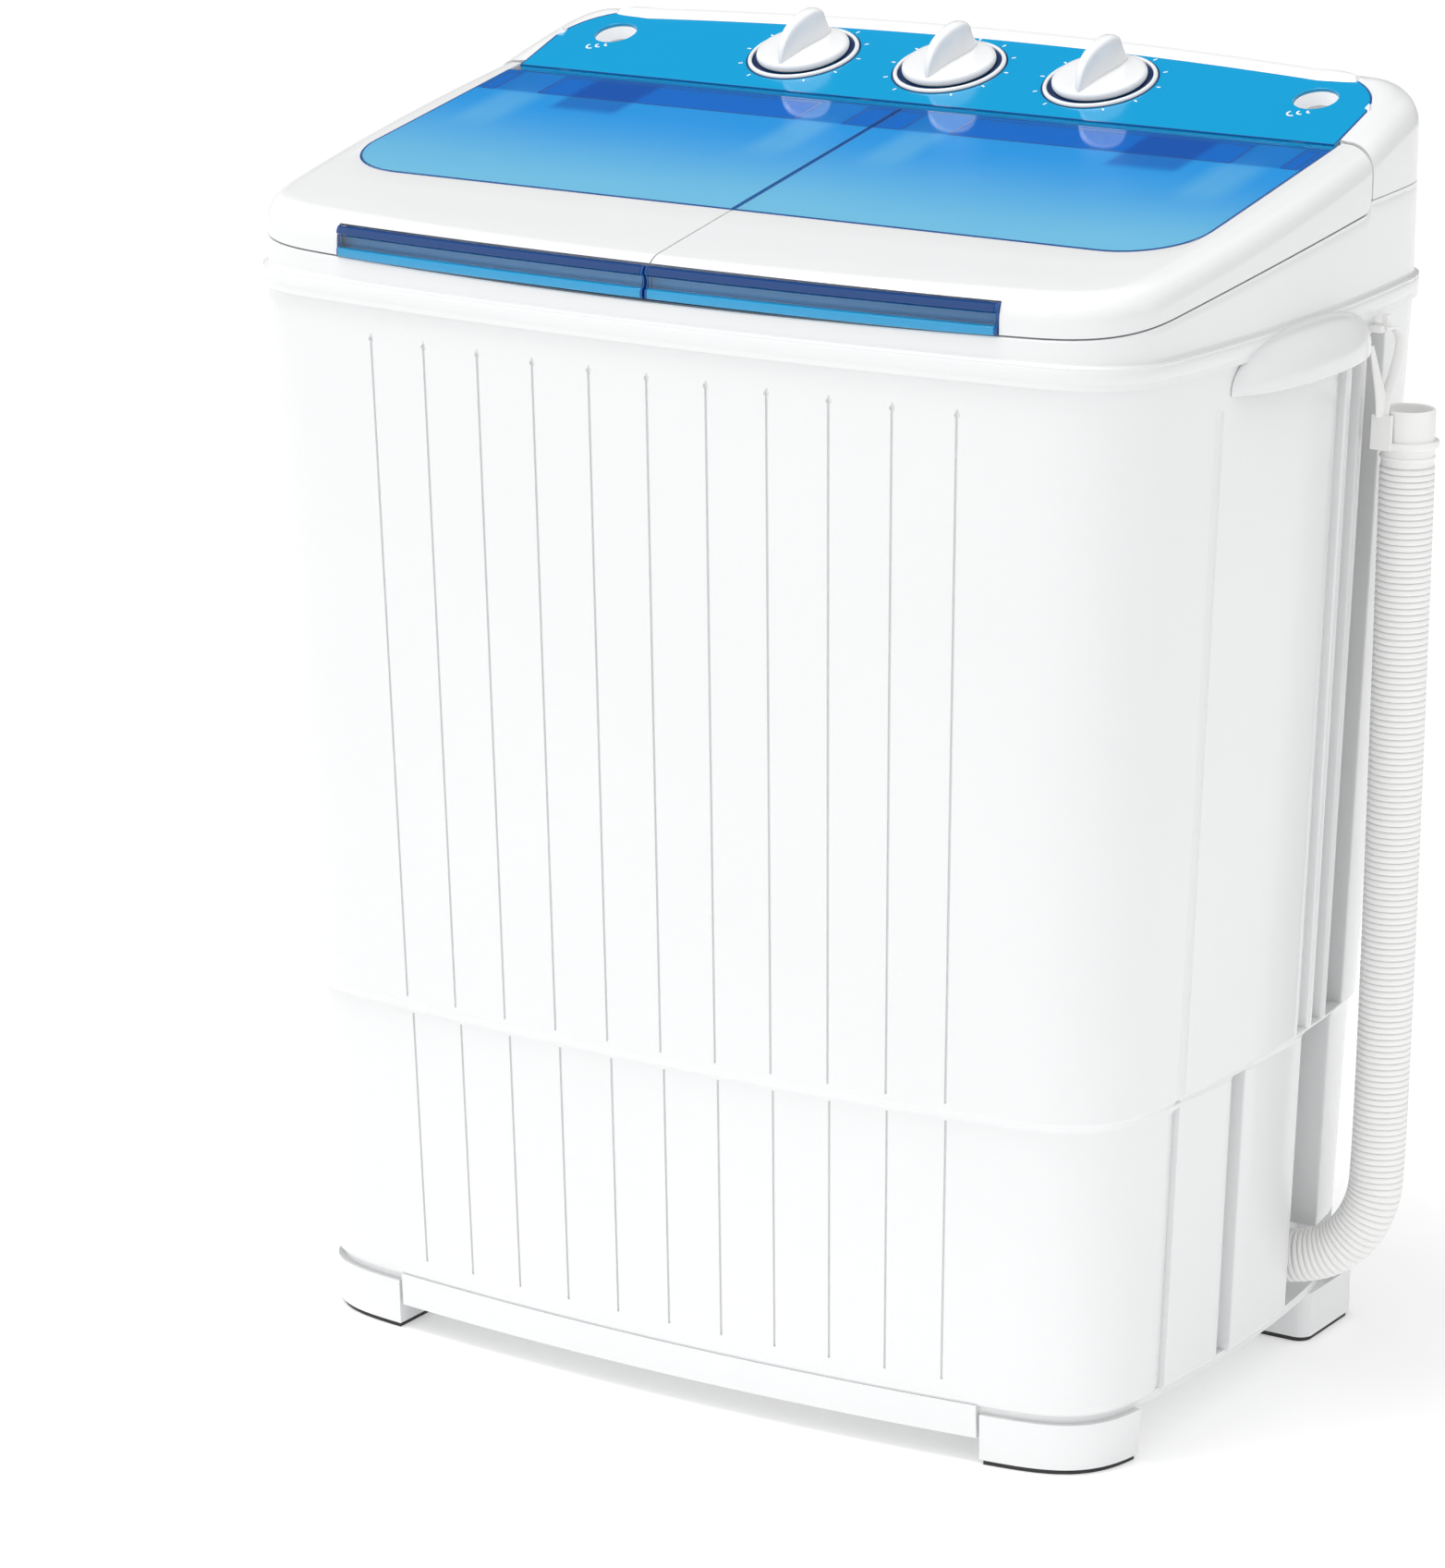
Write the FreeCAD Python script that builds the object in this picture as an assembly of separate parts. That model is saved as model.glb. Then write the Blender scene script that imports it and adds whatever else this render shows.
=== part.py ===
import FreeCAD, Part
import math
import os

# Portable twin tub washer. Millimetres, +Z up, +X to the user's right, -Y to the user.
# The origin is on the floor, under the middle of the cabinet.
# Left half: wash tub with pulsator. Right half: spin tub with basket. Controls at the rear top.

Vec = FreeCAD.Vector
X_AXIS = Vec(1, 0, 0)
Z_AXIS = Vec(0, 0, 1)

# ---------------------------------------------------------------- driving dimensions
CABINET_HALF_WIDTH = 285.0
CABINET_HALF_DEPTH = 197.0
CORNER = 63.0               # plan corner reach
FRONT_BOW = 12.4            # how far the front and back walls bulge
SIDE_BOW = 7.0              # how far the side walls bulge
FRONT_DRAFT = math.tan(math.radians(2.31))
SIDE_DRAFT = math.tan(math.radians(1.68))
WALL = 3.0

PAD_TOP = 3.0               # rubber pads under the feet
SKIRT_BOTTOM = 15.0         # lower edge of the plinth at the front
CABINET_BOTTOM = 34.0
STEP_LOW = 196.0            # soft step where the lower walls set in
STEP_HIGH = 203.0
STEP_INSET = 3.0
CABINET_TOP = 598.5
BEAD_TOP = 610.0
BEAD_OUTSET = 2.5

LID_REAR_Y = 73.3
LID_REAR_Z = 689.5
LID_SLOPE = math.radians(9.9)
LID_EDGE_ROUND = 15.0
LID_SKIN = 3.0
LID_GAP = 1.0               # seam between the lids and the deck, and between the two lids
WINDOW_HALF_WIDTH = 264.0
WINDOW_FRONT_Y = -112.0
WINDOW_CORNER = 44.0
HINGE_DEPTH = 8.0           # hinge axis below the lid's top plane
HINGE_PIN_R = 2.0
HINGE_X = (34.0, 236.0)     # ears, measured out from the middle
RUNNING_GAP = 0.05

PANEL_SLOPE = math.radians(18.6)
PANEL_BACK_Y = 162.0
PANEL_THICKNESS = 2.0
PANEL_HALF_WIDTH = 262.0
CONSOLE_FRONT_Y = 74.0
CONSOLE_BOTTOM = 661.0
KNOB_Y = 118.0
KNOB_PITCH = 96.0
KNOB_DIAL_R = 27.0
BEZEL_R = 32.3
INLET_X = 226.5
INLET_Y = 122.0
INLET_R = 12.5
INLET_BORE_R = 8.0
INLET_BORE_LENGTH = 18.0

WASH_X = -137.0
SPIN_X = 137.0
TUB_Y = -58.0
WASH_HALF = (120.0, 106.0)  # inside half width and half depth at the rim
WASH_CORNER = 45.0
WASH_FLOOR = 256.0
SPIN_TUB_R = 104.0
SPIN_TUB_FLOOR = 206.0
BASKET_R = 88.0
BASKET_FLOOR = 232.0
BASKET_TOP = 596.0

PULLEY_Z = 118.0
BIG_PULLEY_R = 66.0
SMALL_PULLEY_R = 16.5
WASH_MOTOR_Y = 96.0
BELT_THICKNESS = 5.0

HOSE_R = 15.0
# The drain hose leaves the outlet in the side channel, turns up and hangs straight beside the wall.
HOSE_ROUTE = [
    (238.5, 79.5, 57.0),
    (271.0, 84.0, 58.0),
    (297.0, 90.0, 84.0),
    (303.0, 92.0, 124.0),
    (303.0, 92.0, 522.0),
]
CUFF_TOP = 549.0


# ---------------------------------------------------------------- helpers
def save(name, shape):
    """Write one node. A list becomes a group of separate solids."""
    if isinstance(shape, list):
        shape = Part.makeCompound(shape)
    shape = shape.removeSplitter() if shape.ShapeType != "Compound" else shape
    shape.exportStep("parts/" + name + ".step")
    bounds = shape.BoundBox
    print("%-26s solids %2d valid %-5s volume %9.0f  z %.0f..%.0f" % (
        name, len(shape.Solids), shape.isValid(), shape.Volume, bounds.ZMin, bounds.ZMax))


def box(x0, x1, y0, y1, z0, z1):
    return Part.makeBox(x1 - x0, y1 - y0, z1 - z0, Vec(x0, y0, z0))


def cylinder(x, y, z0, z1, radius):
    return Part.makeCylinder(radius, z1 - z0, Vec(x, y, z0), Z_AXIS)


def tube(x, y, z0, z1, outer, inner):
    return cylinder(x, y, z0, z1, outer).cut(cylinder(x, y, z0 - 1, z1 + 1, inner))


def x_cylinder(x0, x1, y, z, radius):
    return Part.makeCylinder(radius, x1 - x0, Vec(x0, y, z), X_AXIS)


def mirror_x(shape):
    return shape.mirror(Vec(0, 0, 0), X_AXIS)


def fuse_all(shapes):
    return shapes[0].multiFuse(shapes[1:]).removeSplitter()


def arc(a, b, c):
    return Part.Arc(Vec(*a), Vec(*b), Vec(*c)).toShape()


def plan_wire(half_width, half_depth, z, corner=CORNER):
    """Cabinet plan: four bowed walls joined by tangent corner curves."""
    flat_x = half_width - corner
    flat_y = half_depth - corner
    front_end_y = half_depth - FRONT_BOW
    side_end_x = half_width - SIDE_BOW
    front_slope = 2 * FRONT_BOW / flat_x
    side_slope = 2 * SIDE_BOW / flat_y
    handle = 0.55 * corner

    def corner_curve(sx, sy):
        start = Vec(sx * flat_x, sy * front_end_y, z)
        end = Vec(sx * side_end_x, sy * flat_y, z)
        start_dir = Vec(sx, -sy * front_slope, 0).normalize()
        end_dir = Vec(-sx * side_slope, sy, 0).normalize()
        curve = Part.BezierCurve()
        curve.setPoles([start, start + start_dir * handle, end + end_dir * handle, end])
        return curve.toShape()

    edges = [
        arc((-flat_x, -front_end_y, z), (0, -half_depth, z), (flat_x, -front_end_y, z)),
        corner_curve(1, -1),
        arc((side_end_x, -flat_y, z), (half_width, 0, z), (side_end_x, flat_y, z)),
        corner_curve(1, 1),
        arc((flat_x, front_end_y, z), (0, half_depth, z), (-flat_x, front_end_y, z)),
        corner_curve(-1, 1),
        arc((-side_end_x, flat_y, z), (-half_width, 0, z), (-side_end_x, -flat_y, z)),
        corner_curve(-1, -1),
    ]
    return Part.Wire(Part.__sortEdges__(edges))


def cabinet_wire(z, inset=0.0):
    """Plan of the tapered cabinet at a height, moved inwards by inset."""
    drop = CABINET_TOP - z
    return plan_wire(
        CABINET_HALF_WIDTH - drop * SIDE_DRAFT - inset,
        CABINET_HALF_DEPTH - drop * FRONT_DRAFT - inset,
        z,
        CORNER - inset * 0.5,
    )


def loft(wires):
    return Part.makeLoft(wires, True, True)


def cabinet_solid(levels):
    """Loft through (height, inset) levels."""
    return loft([cabinet_wire(z, inset) for z, inset in levels])


def upper_prism(z0, z1, inset=0.0):
    """Upright prism over the cabinet's top plan."""
    wire = plan_wire(CABINET_HALF_WIDTH - inset, CABINET_HALF_DEPTH - inset, z0, CORNER - inset * 0.5)
    return Part.Face(wire).extrude(Vec(0, 0, z1 - z0))


def rounded_rect(cx, cy, half_x, half_y, radius, z):
    """Closed wire of a rectangle with round corners."""
    x0, x1, y0, y1 = cx - half_x, cx + half_x, cy - half_y, cy + half_y
    k = radius * (1 - math.sqrt(0.5))
    edges = [
        Part.makeLine(Vec(x0 + radius, y0, z), Vec(x1 - radius, y0, z)),
        arc((x1 - radius, y0, z), (x1 - k, y0 + k, z), (x1, y0 + radius, z)),
        Part.makeLine(Vec(x1, y0 + radius, z), Vec(x1, y1 - radius, z)),
        arc((x1, y1 - radius, z), (x1 - k, y1 - k, z), (x1 - radius, y1, z)),
        Part.makeLine(Vec(x1 - radius, y1, z), Vec(x0 + radius, y1, z)),
        arc((x0 + radius, y1, z), (x0 + k, y1 - k, z), (x0, y1 - radius, z)),
        Part.makeLine(Vec(x0, y1 - radius, z), Vec(x0, y0 + radius, z)),
        arc((x0, y0 + radius, z), (x0 + k, y0 + k, z), (x0 + radius, y0, z)),
    ]
    return Part.Wire(edges)


def rounded_prism(cx, cy, half_x, half_y, radius, z0, z1, taper=0.0):
    """Upright or tapered block with round corners; taper shrinks it towards z0."""
    low = rounded_rect(cx, cy, half_x - taper, half_y - taper, radius - taper * 0.5, z0)
    high = rounded_rect(cx, cy, half_x, half_y, radius, z1)
    return loft([low, high])


def section_extrude(edges, x0, x1):
    """Extrude a closed section drawn at x = 0 in the YZ plane from x0 to x1."""
    solid = Part.Face(Part.Wire(Part.__sortEdges__(edges))).extrude(Vec(x1 - x0, 0, 0))
    return solid.translated(Vec(x0, 0, 0))


def polygon_extrude(points, x0, x1):
    """Extrude a YZ polygon of (y, z) points from x0 to x1."""
    corners = [Vec(0, y, z) for y, z in points]
    wire = Part.makePolygon(corners + corners[:1])
    return Part.Face(wire).extrude(Vec(x1 - x0, 0, 0)).translated(Vec(x0, 0, 0))


# ---------------------------------------------------------------- shared surfaces of the top
def lid_plane_z(y):
    return LID_REAR_Z + (y - LID_REAR_Y) * math.tan(LID_SLOPE)


def panel_z(y):
    return LID_REAR_Z + (y - LID_REAR_Y) * math.tan(PANEL_SLOPE)


SEAM_POINTS = ((-204.0, 619.5), (-60.0, 641.0), (80.0, 654.8))
HINGE_Y = LID_REAR_Y - HINGE_DEPTH
HINGE_Z = lid_plane_z(HINGE_Y) - HINGE_DEPTH / math.cos(LID_SLOPE)
SIDE_REACH = 330.0          # further out than any wall


def above_seam(offset, top):
    """Everything above the lid seam, shifted by offset, for cutting and keeping."""
    (y0, z0), (y1, z1), (y2, z2) = SEAM_POINTS
    edges = [
        arc((0, y0, z0 + offset), (0, y1, z1 + offset), (0, y2, z2 + offset)),
        Part.makeLine(Vec(0, y2, z2 + offset), Vec(0, y2, top)),
        Part.makeLine(Vec(0, y2, top), Vec(0, y0, top)),
        Part.makeLine(Vec(0, y0, top), Vec(0, y0, z0 + offset)),
    ]
    return section_extrude(edges, -SIDE_REACH, SIDE_REACH)


def on_panel(shape, x, y):
    """Place a shape drawn around +Z so that it stands on the sloping panel at (x, y)."""
    placed = shape.copy()
    placed.rotate(Vec(0, 0, 0), X_AXIS, math.degrees(PANEL_SLOPE))
    placed.translate(Vec(x, y, panel_z(y)))
    return placed


# ---------------------------------------------------------------- cabinet
CHANNEL_FRONT_Y = 57.0
CHANNEL_BACK_Y = 97.0
CHANNEL_FLOOR_X = 236.0
GROOVE_COUNT = 11
GROOVE_PITCH = 36.55
GROOVE_TOP = 580.0
GROOVE_BOTTOM = 46.0
GROOVE_WIDTH = 1.6
GROOVE_FAN = 0.925          # spacing at the bottom compared with the top
BACK_OPENING = (190.0, 70.0, 560.0)


def side_recesses(grow):
    """Recesses of the right side wall. grow makes the larger copy that backs them inside."""
    far = SIDE_REACH
    floor_x = CHANNEL_FLOOR_X - grow
    step = (STEP_LOW + STEP_HIGH) / 2 + grow
    top = 588.0 + grow
    deep = box(floor_x, far, CHANNEL_FRONT_Y - grow, CHANNEL_BACK_Y + grow, 0, step)
    notch = box(floor_x, far, CHANNEL_BACK_Y - 20, 132 + grow, 0, 66 + grow)
    notch_round = x_cylinder(floor_x, far, CHANNEL_BACK_Y + 12, 66, 15 + grow)
    upper = [
        box(270 - grow, far, 43 - grow, 56 + grow, step - 1, 585 + grow),
        box(266 - grow, far, 63 - grow, 76 + grow, step - 1, top),
        box(258 - grow, far, 83 - grow, 107 + grow, step - 1, top),
    ]
    slot = box(256 - grow, far, -29 - grow, -14 + grow, 0, 198 + grow)
    return [deep, notch, notch_round, slot] + upper


def front_groove(index):
    """One fine groove in the front wall, broken at the soft step."""
    x_top = (index - (GROOVE_COUNT - 1) / 2) * GROOVE_PITCH
    x_low = x_top * GROOVE_FAN
    half = GROOVE_WIDTH / 2

    def ribbon(z, x, depth):
        flat = CABINET_HALF_WIDTH - CORNER
        y = -(CABINET_HALF_DEPTH - (CABINET_TOP - z) * FRONT_DRAFT) + FRONT_BOW * (x / flat) ** 2
        if z < STEP_LOW:
            y += STEP_INSET
        inner = y + depth
        outer = y - 6
        return Part.makePolygon([Vec(x - half, outer, z), Vec(x + half, outer, z), Vec(x + half, inner, z),
                                 Vec(x - half, inner, z), Vec(x - half, outer, z)])

    def x_at(z):
        return x_low + (x_top - x_low) * (z - GROOVE_BOTTOM) / (GROOVE_TOP - GROOVE_BOTTOM)

    spans = [(GROOVE_BOTTOM, STEP_LOW - 2), (STEP_HIGH + 4, GROOVE_TOP)]
    return [loft([ribbon(low, x_at(low), 1.2), ribbon(high, x_at(high), 1.2)]) for low, high in spans]


def side_line_grooves():
    """The upright line at the front of the side wall, wider below the step."""
    upper = box(277.0, SIDE_REACH, -91.5, -87.5, STEP_HIGH + 2, 577)
    lean = upper.copy()
    lean.rotate(Vec(281, -90, 577), Vec(0, 1, 0), math.degrees(math.atan(SIDE_DRAFT)))
    lower = box(262.5, SIDE_REACH, -91.0, -83.0, 0, STEP_LOW - 1)
    return [lean, lower]


def with_mirrored(shapes):
    return shapes + [mirror_x(shape) for shape in shapes]


def wall_levels(inset, low, high):
    """Heights and insets of the wall: it sets in by STEP_INSET below the soft step."""
    return [(low, STEP_INSET + inset), (STEP_LOW, STEP_INSET + inset), (STEP_HIGH, inset), (high, inset)]


def make_cabinet():
    """The wall all round, and the two liners that back the recesses of its sides."""
    filled = cabinet_solid(wall_levels(0, CABINET_BOTTOM, CABINET_TOP))
    hollow = cabinet_solid(wall_levels(WALL, CABINET_BOTTOM - 1, CABINET_TOP + 1))
    grooves = with_mirrored(side_line_grooves())
    for index in range(GROOVE_COUNT):
        grooves.extend(front_groove(index))
    half, low, high = BACK_OPENING
    window = box(-half, half, 100, SIDE_REACH, low, high)
    catch_hole = box(270, SIDE_REACH, 80, 92, 589, 594)
    wall = filled.cut(hollow).cut(with_mirrored(side_recesses(0))).cut(grooves).cut([window, catch_hole])
    liner = fuse_all(side_recesses(WALL)).common(hollow).common(filled).cut(side_recesses(0))
    outlet = x_cylinder(CHANNEL_FLOOR_X - 10, CHANNEL_FLOOR_X + 5, HOSE_ROUTE[0][1], HOSE_ROUTE[0][2], 14.1)
    return [wall, liner.cut([outlet, catch_hole]), mirror_x(liner)]


# ---------------------------------------------------------------- base and feet
FOOT_X = 190.0
FOOT_FRONT_Y = -105.0
REAR_FOOT = (208.0, 257.0, 98.0, 160.0)


def make_base():
    """Floor plate that carries the motors, with the plinth skirt along the front."""
    plate = cabinet_solid([(CABINET_BOTTOM - 5, 6.5), (CABINET_BOTTOM, 6.5)])
    skirt = cabinet_solid([(SKIRT_BOTTOM, STEP_INSET + 0.6), (CABINET_BOTTOM, STEP_INSET)])
    skirt = skirt.cut(cabinet_solid([(SKIRT_BOTTOM - 1, 7.5), (CABINET_BOTTOM + 1, 7.5)]))
    skirt = skirt.common(box(-FOOT_X + 2, FOOT_X - 2, -SIDE_REACH, -100, 0, CABINET_BOTTOM))
    vents = []
    for row in range(3):
        for column in range(5):
            x = 92 + 22 * column
            y = -95 + 36 * row
            vents.append(rounded_prism(x, y, 5, 14, 4.9, 20, 40))
    return fuse_all([plate, skirt]).cut(vents)


def foot_blocks(inset, z0, z1):
    """Four corner blocks, two following the front corners and two plain ones at the rear."""
    corner_fill = cabinet_solid([(z0, STEP_INSET + inset), (z1, STEP_INSET + inset)])
    front = corner_fill.common(box(FOOT_X + inset, SIDE_REACH, -SIDE_REACH, FOOT_FRONT_Y - inset, z0, z1))
    x0, x1, y0, y1 = REAR_FOOT
    half_x = (x1 - x0) / 2 - inset
    half_y = (y1 - y0) / 2 - inset
    rear = rounded_prism((x0 + x1) / 2, (y0 + y1) / 2, half_x, half_y, 8, z0, z1)
    blocks = []
    for block in (front, rear):
        blocks.append(block)
        blocks.append(mirror_x(block))
    return blocks


def make_feet():
    return foot_blocks(0, PAD_TOP, CABINET_BOTTOM - 5)


def make_foot_pads():
    return foot_blocks(1.5, 0, PAD_TOP)


# ---------------------------------------------------------------- deck
DECK_PLATE_DROP = 2.0       # plate top below the lid seam
DECK_PLATE = 3.0
SHELF_Z = 650.0
SHELF_THICKNESS = 3.5
PULL_ROD_Y = 100.0


def make_deck():
    """Top frame: bead, outer wall, sloping plate with both tub mouths, and the hinge ears."""
    ring = upper_prism(CABINET_TOP, 680).cut(upper_prism(CABINET_TOP - 1, 681, WALL))
    bead = upper_prism(CABINET_TOP, BEAD_TOP, -BEAD_OUTSET)
    bead = bead.cut(upper_prism(CABINET_TOP - 1, BEAD_TOP + 1, WALL))
    filled = upper_prism(CABINET_TOP, 680, WALL - 0.5)
    front = box(-SIDE_REACH, SIDE_REACH, -SIDE_REACH, 80, 0, 700)
    rear = box(-SIDE_REACH, SIDE_REACH, 79.9, SIDE_REACH, 0, CONSOLE_BOTTOM)
    walls = fuse_all([ring.common(front).cut(above_seam(0, 720)), ring.common(rear)])
    plate = filled.common(front).common(above_seam(-DECK_PLATE_DROP - DECK_PLATE, 720))
    plate = plate.cut(above_seam(-DECK_PLATE_DROP, 730))
    shelf = filled.common(box(-SIDE_REACH, SIDE_REACH, 78, SIDE_REACH, SHELF_Z, SHELF_Z + SHELF_THICKNESS))
    ears = []
    for x in HINGE_X:
        for side in (-1, 1):
            middle = side * x
            ears.append(box(middle - 4, middle + 4, HINGE_Y - 3.5, HINGE_Y + 3.5, 649, HINGE_Z))
            ears.append(x_cylinder(middle - 4, middle + 4, HINGE_Y, HINGE_Z, 5))
    body = fuse_all([walls, bead, plate, shelf] + ears)
    half_x, half_y = WASH_HALF
    openings = [
        rounded_prism(WASH_X, TUB_Y, half_x, half_y, WASH_CORNER, 600, 680),
        cylinder(SPIN_X, TUB_Y, 600, 680, 96),
        cylinder(0, PULL_ROD_Y, 640, 670, 4),
    ]
    for x in HINGE_X:
        for side in (-1, 1):
            openings.append(x_cylinder(side * x - 5, side * x + 5, HINGE_Y, HINGE_Z, HINGE_PIN_R))
    return body.cut(openings)


def make_hinge_pins():
    places = [side * x for side in (-1, 1) for x in HINGE_X]
    return [x_cylinder(x - 11, x + 11, HINGE_Y, HINGE_Z, HINGE_PIN_R) for x in places]


# ---------------------------------------------------------------- console and panel
CONSOLE_SKIN = 3.0


def console_section(drop, front_y):
    """YZ section of the console, drop below its outer surface."""
    top_front = panel_z(front_y + drop) - drop
    top_back = panel_z(PANEL_BACK_Y) - drop
    floor = CONSOLE_BOTTOM if drop == 0 else CONSOLE_BOTTOM - 1
    edges = [
        Part.makeLine(Vec(0, front_y + drop, floor), Vec(0, front_y + drop, top_front)),
        Part.makeLine(Vec(0, front_y + drop, top_front), Vec(0, PANEL_BACK_Y, top_back)),
        arc((0, PANEL_BACK_Y, top_back), (0, 184 - drop, 709 - drop), (0, 200 - drop, 684)),
        Part.makeLine(Vec(0, 200 - drop, 684), Vec(0, 200 - drop, floor)),
        Part.makeLine(Vec(0, 200 - drop, floor), Vec(0, front_y + drop, floor)),
    ]
    return section_extrude(edges, -SIDE_REACH, SIDE_REACH)


def panel_prism(z0, z1, inset=0.0):
    """Upright prism over the control panel's plan: straight front, round corners, bowed back."""
    half = PANEL_HALF_WIDTH - inset
    front = CONSOLE_FRONT_Y + 0.6 + inset
    side_top = 112.0
    back_end_x = half - 50.0
    back_end_y = 150.0 - inset
    back = PANEL_BACK_Y - inset
    corner_mid = (half - 12, 138 - inset)
    edges = [
        Part.makeLine(Vec(-half, front, z0), Vec(half, front, z0)),
        Part.makeLine(Vec(half, front, z0), Vec(half, side_top, z0)),
        arc((half, side_top, z0), (corner_mid[0], corner_mid[1], z0), (back_end_x, back_end_y, z0)),
        arc((back_end_x, back_end_y, z0), (0, back, z0), (-back_end_x, back_end_y, z0)),
        arc((-back_end_x, back_end_y, z0), (-corner_mid[0], corner_mid[1], z0), (-half, side_top, z0)),
        Part.makeLine(Vec(-half, side_top, z0), Vec(-half, front, z0)),
    ]
    return Part.Face(Part.Wire(Part.__sortEdges__(edges))).extrude(Vec(0, 0, z1 - z0))


def below_panel_plane(drop):
    """Everything below the panel plane lowered by drop, behind the lids."""
    points = [(50, 600), (50, panel_z(50) - drop), (230, panel_z(230) - drop), (230, 600)]
    return polygon_extrude(points, -SIDE_REACH, SIDE_REACH)


def knob_places():
    return [-KNOB_PITCH, 0.0, KNOB_PITCH]


def panel_holes(radius_knob, radius_inlet):
    holes = [on_panel(cylinder(0, 0, -40, 12, radius_knob), x, KNOB_Y) for x in knob_places()]
    holes += [on_panel(cylinder(0, 0, -60, 12, radius_inlet), x, INLET_Y) for x in (-INLET_X, INLET_X)]
    return holes


def make_console():
    prism = upper_prism(CONSOLE_BOTTOM, 740)
    outer = prism.common(console_section(0, CONSOLE_FRONT_Y))
    inner = upper_prism(CONSOLE_BOTTOM - 1, 740, CONSOLE_SKIN).common(
        console_section(CONSOLE_SKIN + PANEL_THICKNESS, CONSOLE_FRONT_Y))
    shell = outer.cut(inner)
    shoulder = box(PANEL_HALF_WIDTH, SIDE_REACH, 60, 80.6, 600, 760)
    recess = panel_prism(600, 760, -0.3).cut(below_panel_plane(PANEL_THICKNESS))
    return shell.cut([shoulder, mirror_x(shoulder), recess] + panel_holes(6, INLET_R))


def make_control_panel():
    sheet = panel_prism(600, 760).common(below_panel_plane(0)).cut(below_panel_plane(PANEL_THICKNESS))
    return sheet.cut(panel_holes(6, INLET_R))


def make_inlet_funnels():
    """Two funnels under the panel; each narrows to a straight bore for the filling hose."""
    bore_top = -8.0
    funnels = []
    for x in (-INLET_X, INLET_X):
        body = cylinder(0, 0, bore_top - INLET_BORE_LENGTH, -PANEL_THICKNESS, INLET_R)
        depth = -PANEL_THICKNESS - bore_top + 0.01
        mouth = Part.makeCone(INLET_BORE_R, INLET_R - 1, depth, Vec(0, 0, bore_top))
        bore = cylinder(0, 0, -60, bore_top + 0.01, INLET_BORE_R)
        funnels.append(on_panel(body.cut(mouth).cut(bore), x, INLET_Y))
    return funnels


def make_knob_bezels():
    ring = tube(0, 0, 0, 1.8, BEZEL_R, BEZEL_R - 2.6)
    return [on_panel(ring, x, KNOB_Y) for x in knob_places()]


def make_knob(x):
    """Round dial with a tall tapered finger grip across it."""
    dial = Part.makeCone(KNOB_DIAL_R, KNOB_DIAL_R - 2.5, 5, Vec(0, 0, 0.8))
    low = rounded_rect(0, 0, 5.5, 25.5, 5.0, 4)
    high = rounded_rect(0, 0, 3.2, 22.0, 3.0, 23.5)
    grip = loft([low, high])
    knob = dial.fuse(grip).removeSplitter()
    return on_panel(knob.cut(cylinder(0, 0, 0, 15, 3)), x, KNOB_Y)


def make_knob_shaft(x):
    return on_panel(cylinder(0, 0, -20, 15, 3), x, KNOB_Y)


def make_switch_box(x, half_x, half_y, depth):
    """Clockwork timer or selector switch, hung under the console skin."""
    top = -(PANEL_THICKNESS + CONSOLE_SKIN)
    body = rounded_prism(0, 0, half_x, half_y, 3, top - depth, top)
    neck = cylinder(0, 0, top - 0.5, top + 3, 5.6)
    solid = body.fuse(neck).removeSplitter()
    return on_panel(solid.cut(cylinder(0, 0, -20, 2, 3 + RUNNING_GAP)), x, KNOB_Y)


# ---------------------------------------------------------------- lids
WINDOW_LEDGE = 7.0
HANDLE_END_X = 204.7
HANDLE_TOP = 640.0
HANDLE_OUTSET = 2.5
HANDLE_NOSE_Y = CABINET_HALF_DEPTH + HANDLE_OUTSET
SKIRT_SWEEP_R = 26.0        # rear end of the skirt stays inside this circle round the hinge


def below_lid_plane(drop):
    """Everything below the lid's top plane lowered by drop."""
    points = [(-260, 560), (-260, lid_plane_z(-260) - drop), (120, lid_plane_z(120) - drop), (120, 560)]
    return polygon_extrude(points, -SIDE_REACH, SIDE_REACH)


def window_prism(inset=0.0):
    """Plan of both windows together: straight back, round front corners."""
    half = WINDOW_HALF_WIDTH - inset
    middle_y = (WINDOW_FRONT_Y + 200.0) / 2
    half_y = (200.0 - WINDOW_FRONT_Y) / 2
    solid = rounded_prism(0, middle_y, half, half_y - inset, WINDOW_CORNER - inset, 560, 740)
    return solid.cut(box(-SIDE_REACH, SIDE_REACH, LID_REAR_Y, 260, 500, 760))


def one_side(shape, side):
    """Keep the half of a shape on one side of the seam between the lids."""
    half_gap = LID_GAP / 2
    if side > 0:
        return shape.common(box(half_gap, SIDE_REACH, -SIDE_REACH, SIDE_REACH, 500, 800))
    return shape.common(box(-SIDE_REACH, -half_gap, -SIDE_REACH, SIDE_REACH, 500, 800))


def make_lid_body(inset, drop):
    """Closed body of both lids in front of the hinge line, inset from walls and lowered by drop."""
    solid = upper_prism(CABINET_TOP, 740, inset).common(above_seam(LID_GAP - (0 if inset == 0 else 5), 740))
    solid = solid.common(below_lid_plane(drop))
    solid = solid.cut(box(-SIDE_REACH, SIDE_REACH, 79, SIDE_REACH, 500, 800))
    top_edges = []
    for edge in solid.Edges:
        middle = edge.valueAt((edge.FirstParameter + edge.LastParameter) / 2)
        on_plane = abs(middle.z - (lid_plane_z(middle.y) - drop)) < 0.05
        if on_plane and middle.y < 78:
            top_edges.append(edge)
    return solid.makeFillet(LID_EDGE_ROUND - inset, top_edges)


def skirt_keep():
    """Space the lid may fill: everything before the hinge line, and a circle round the hinge behind it."""
    front = box(-SIDE_REACH, SIDE_REACH, -SIDE_REACH, HINGE_Y, 500, 800)
    return front.fuse(x_cylinder(-SIDE_REACH, SIDE_REACH, HINGE_Y, HINGE_Z, SKIRT_SWEEP_R))


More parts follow.
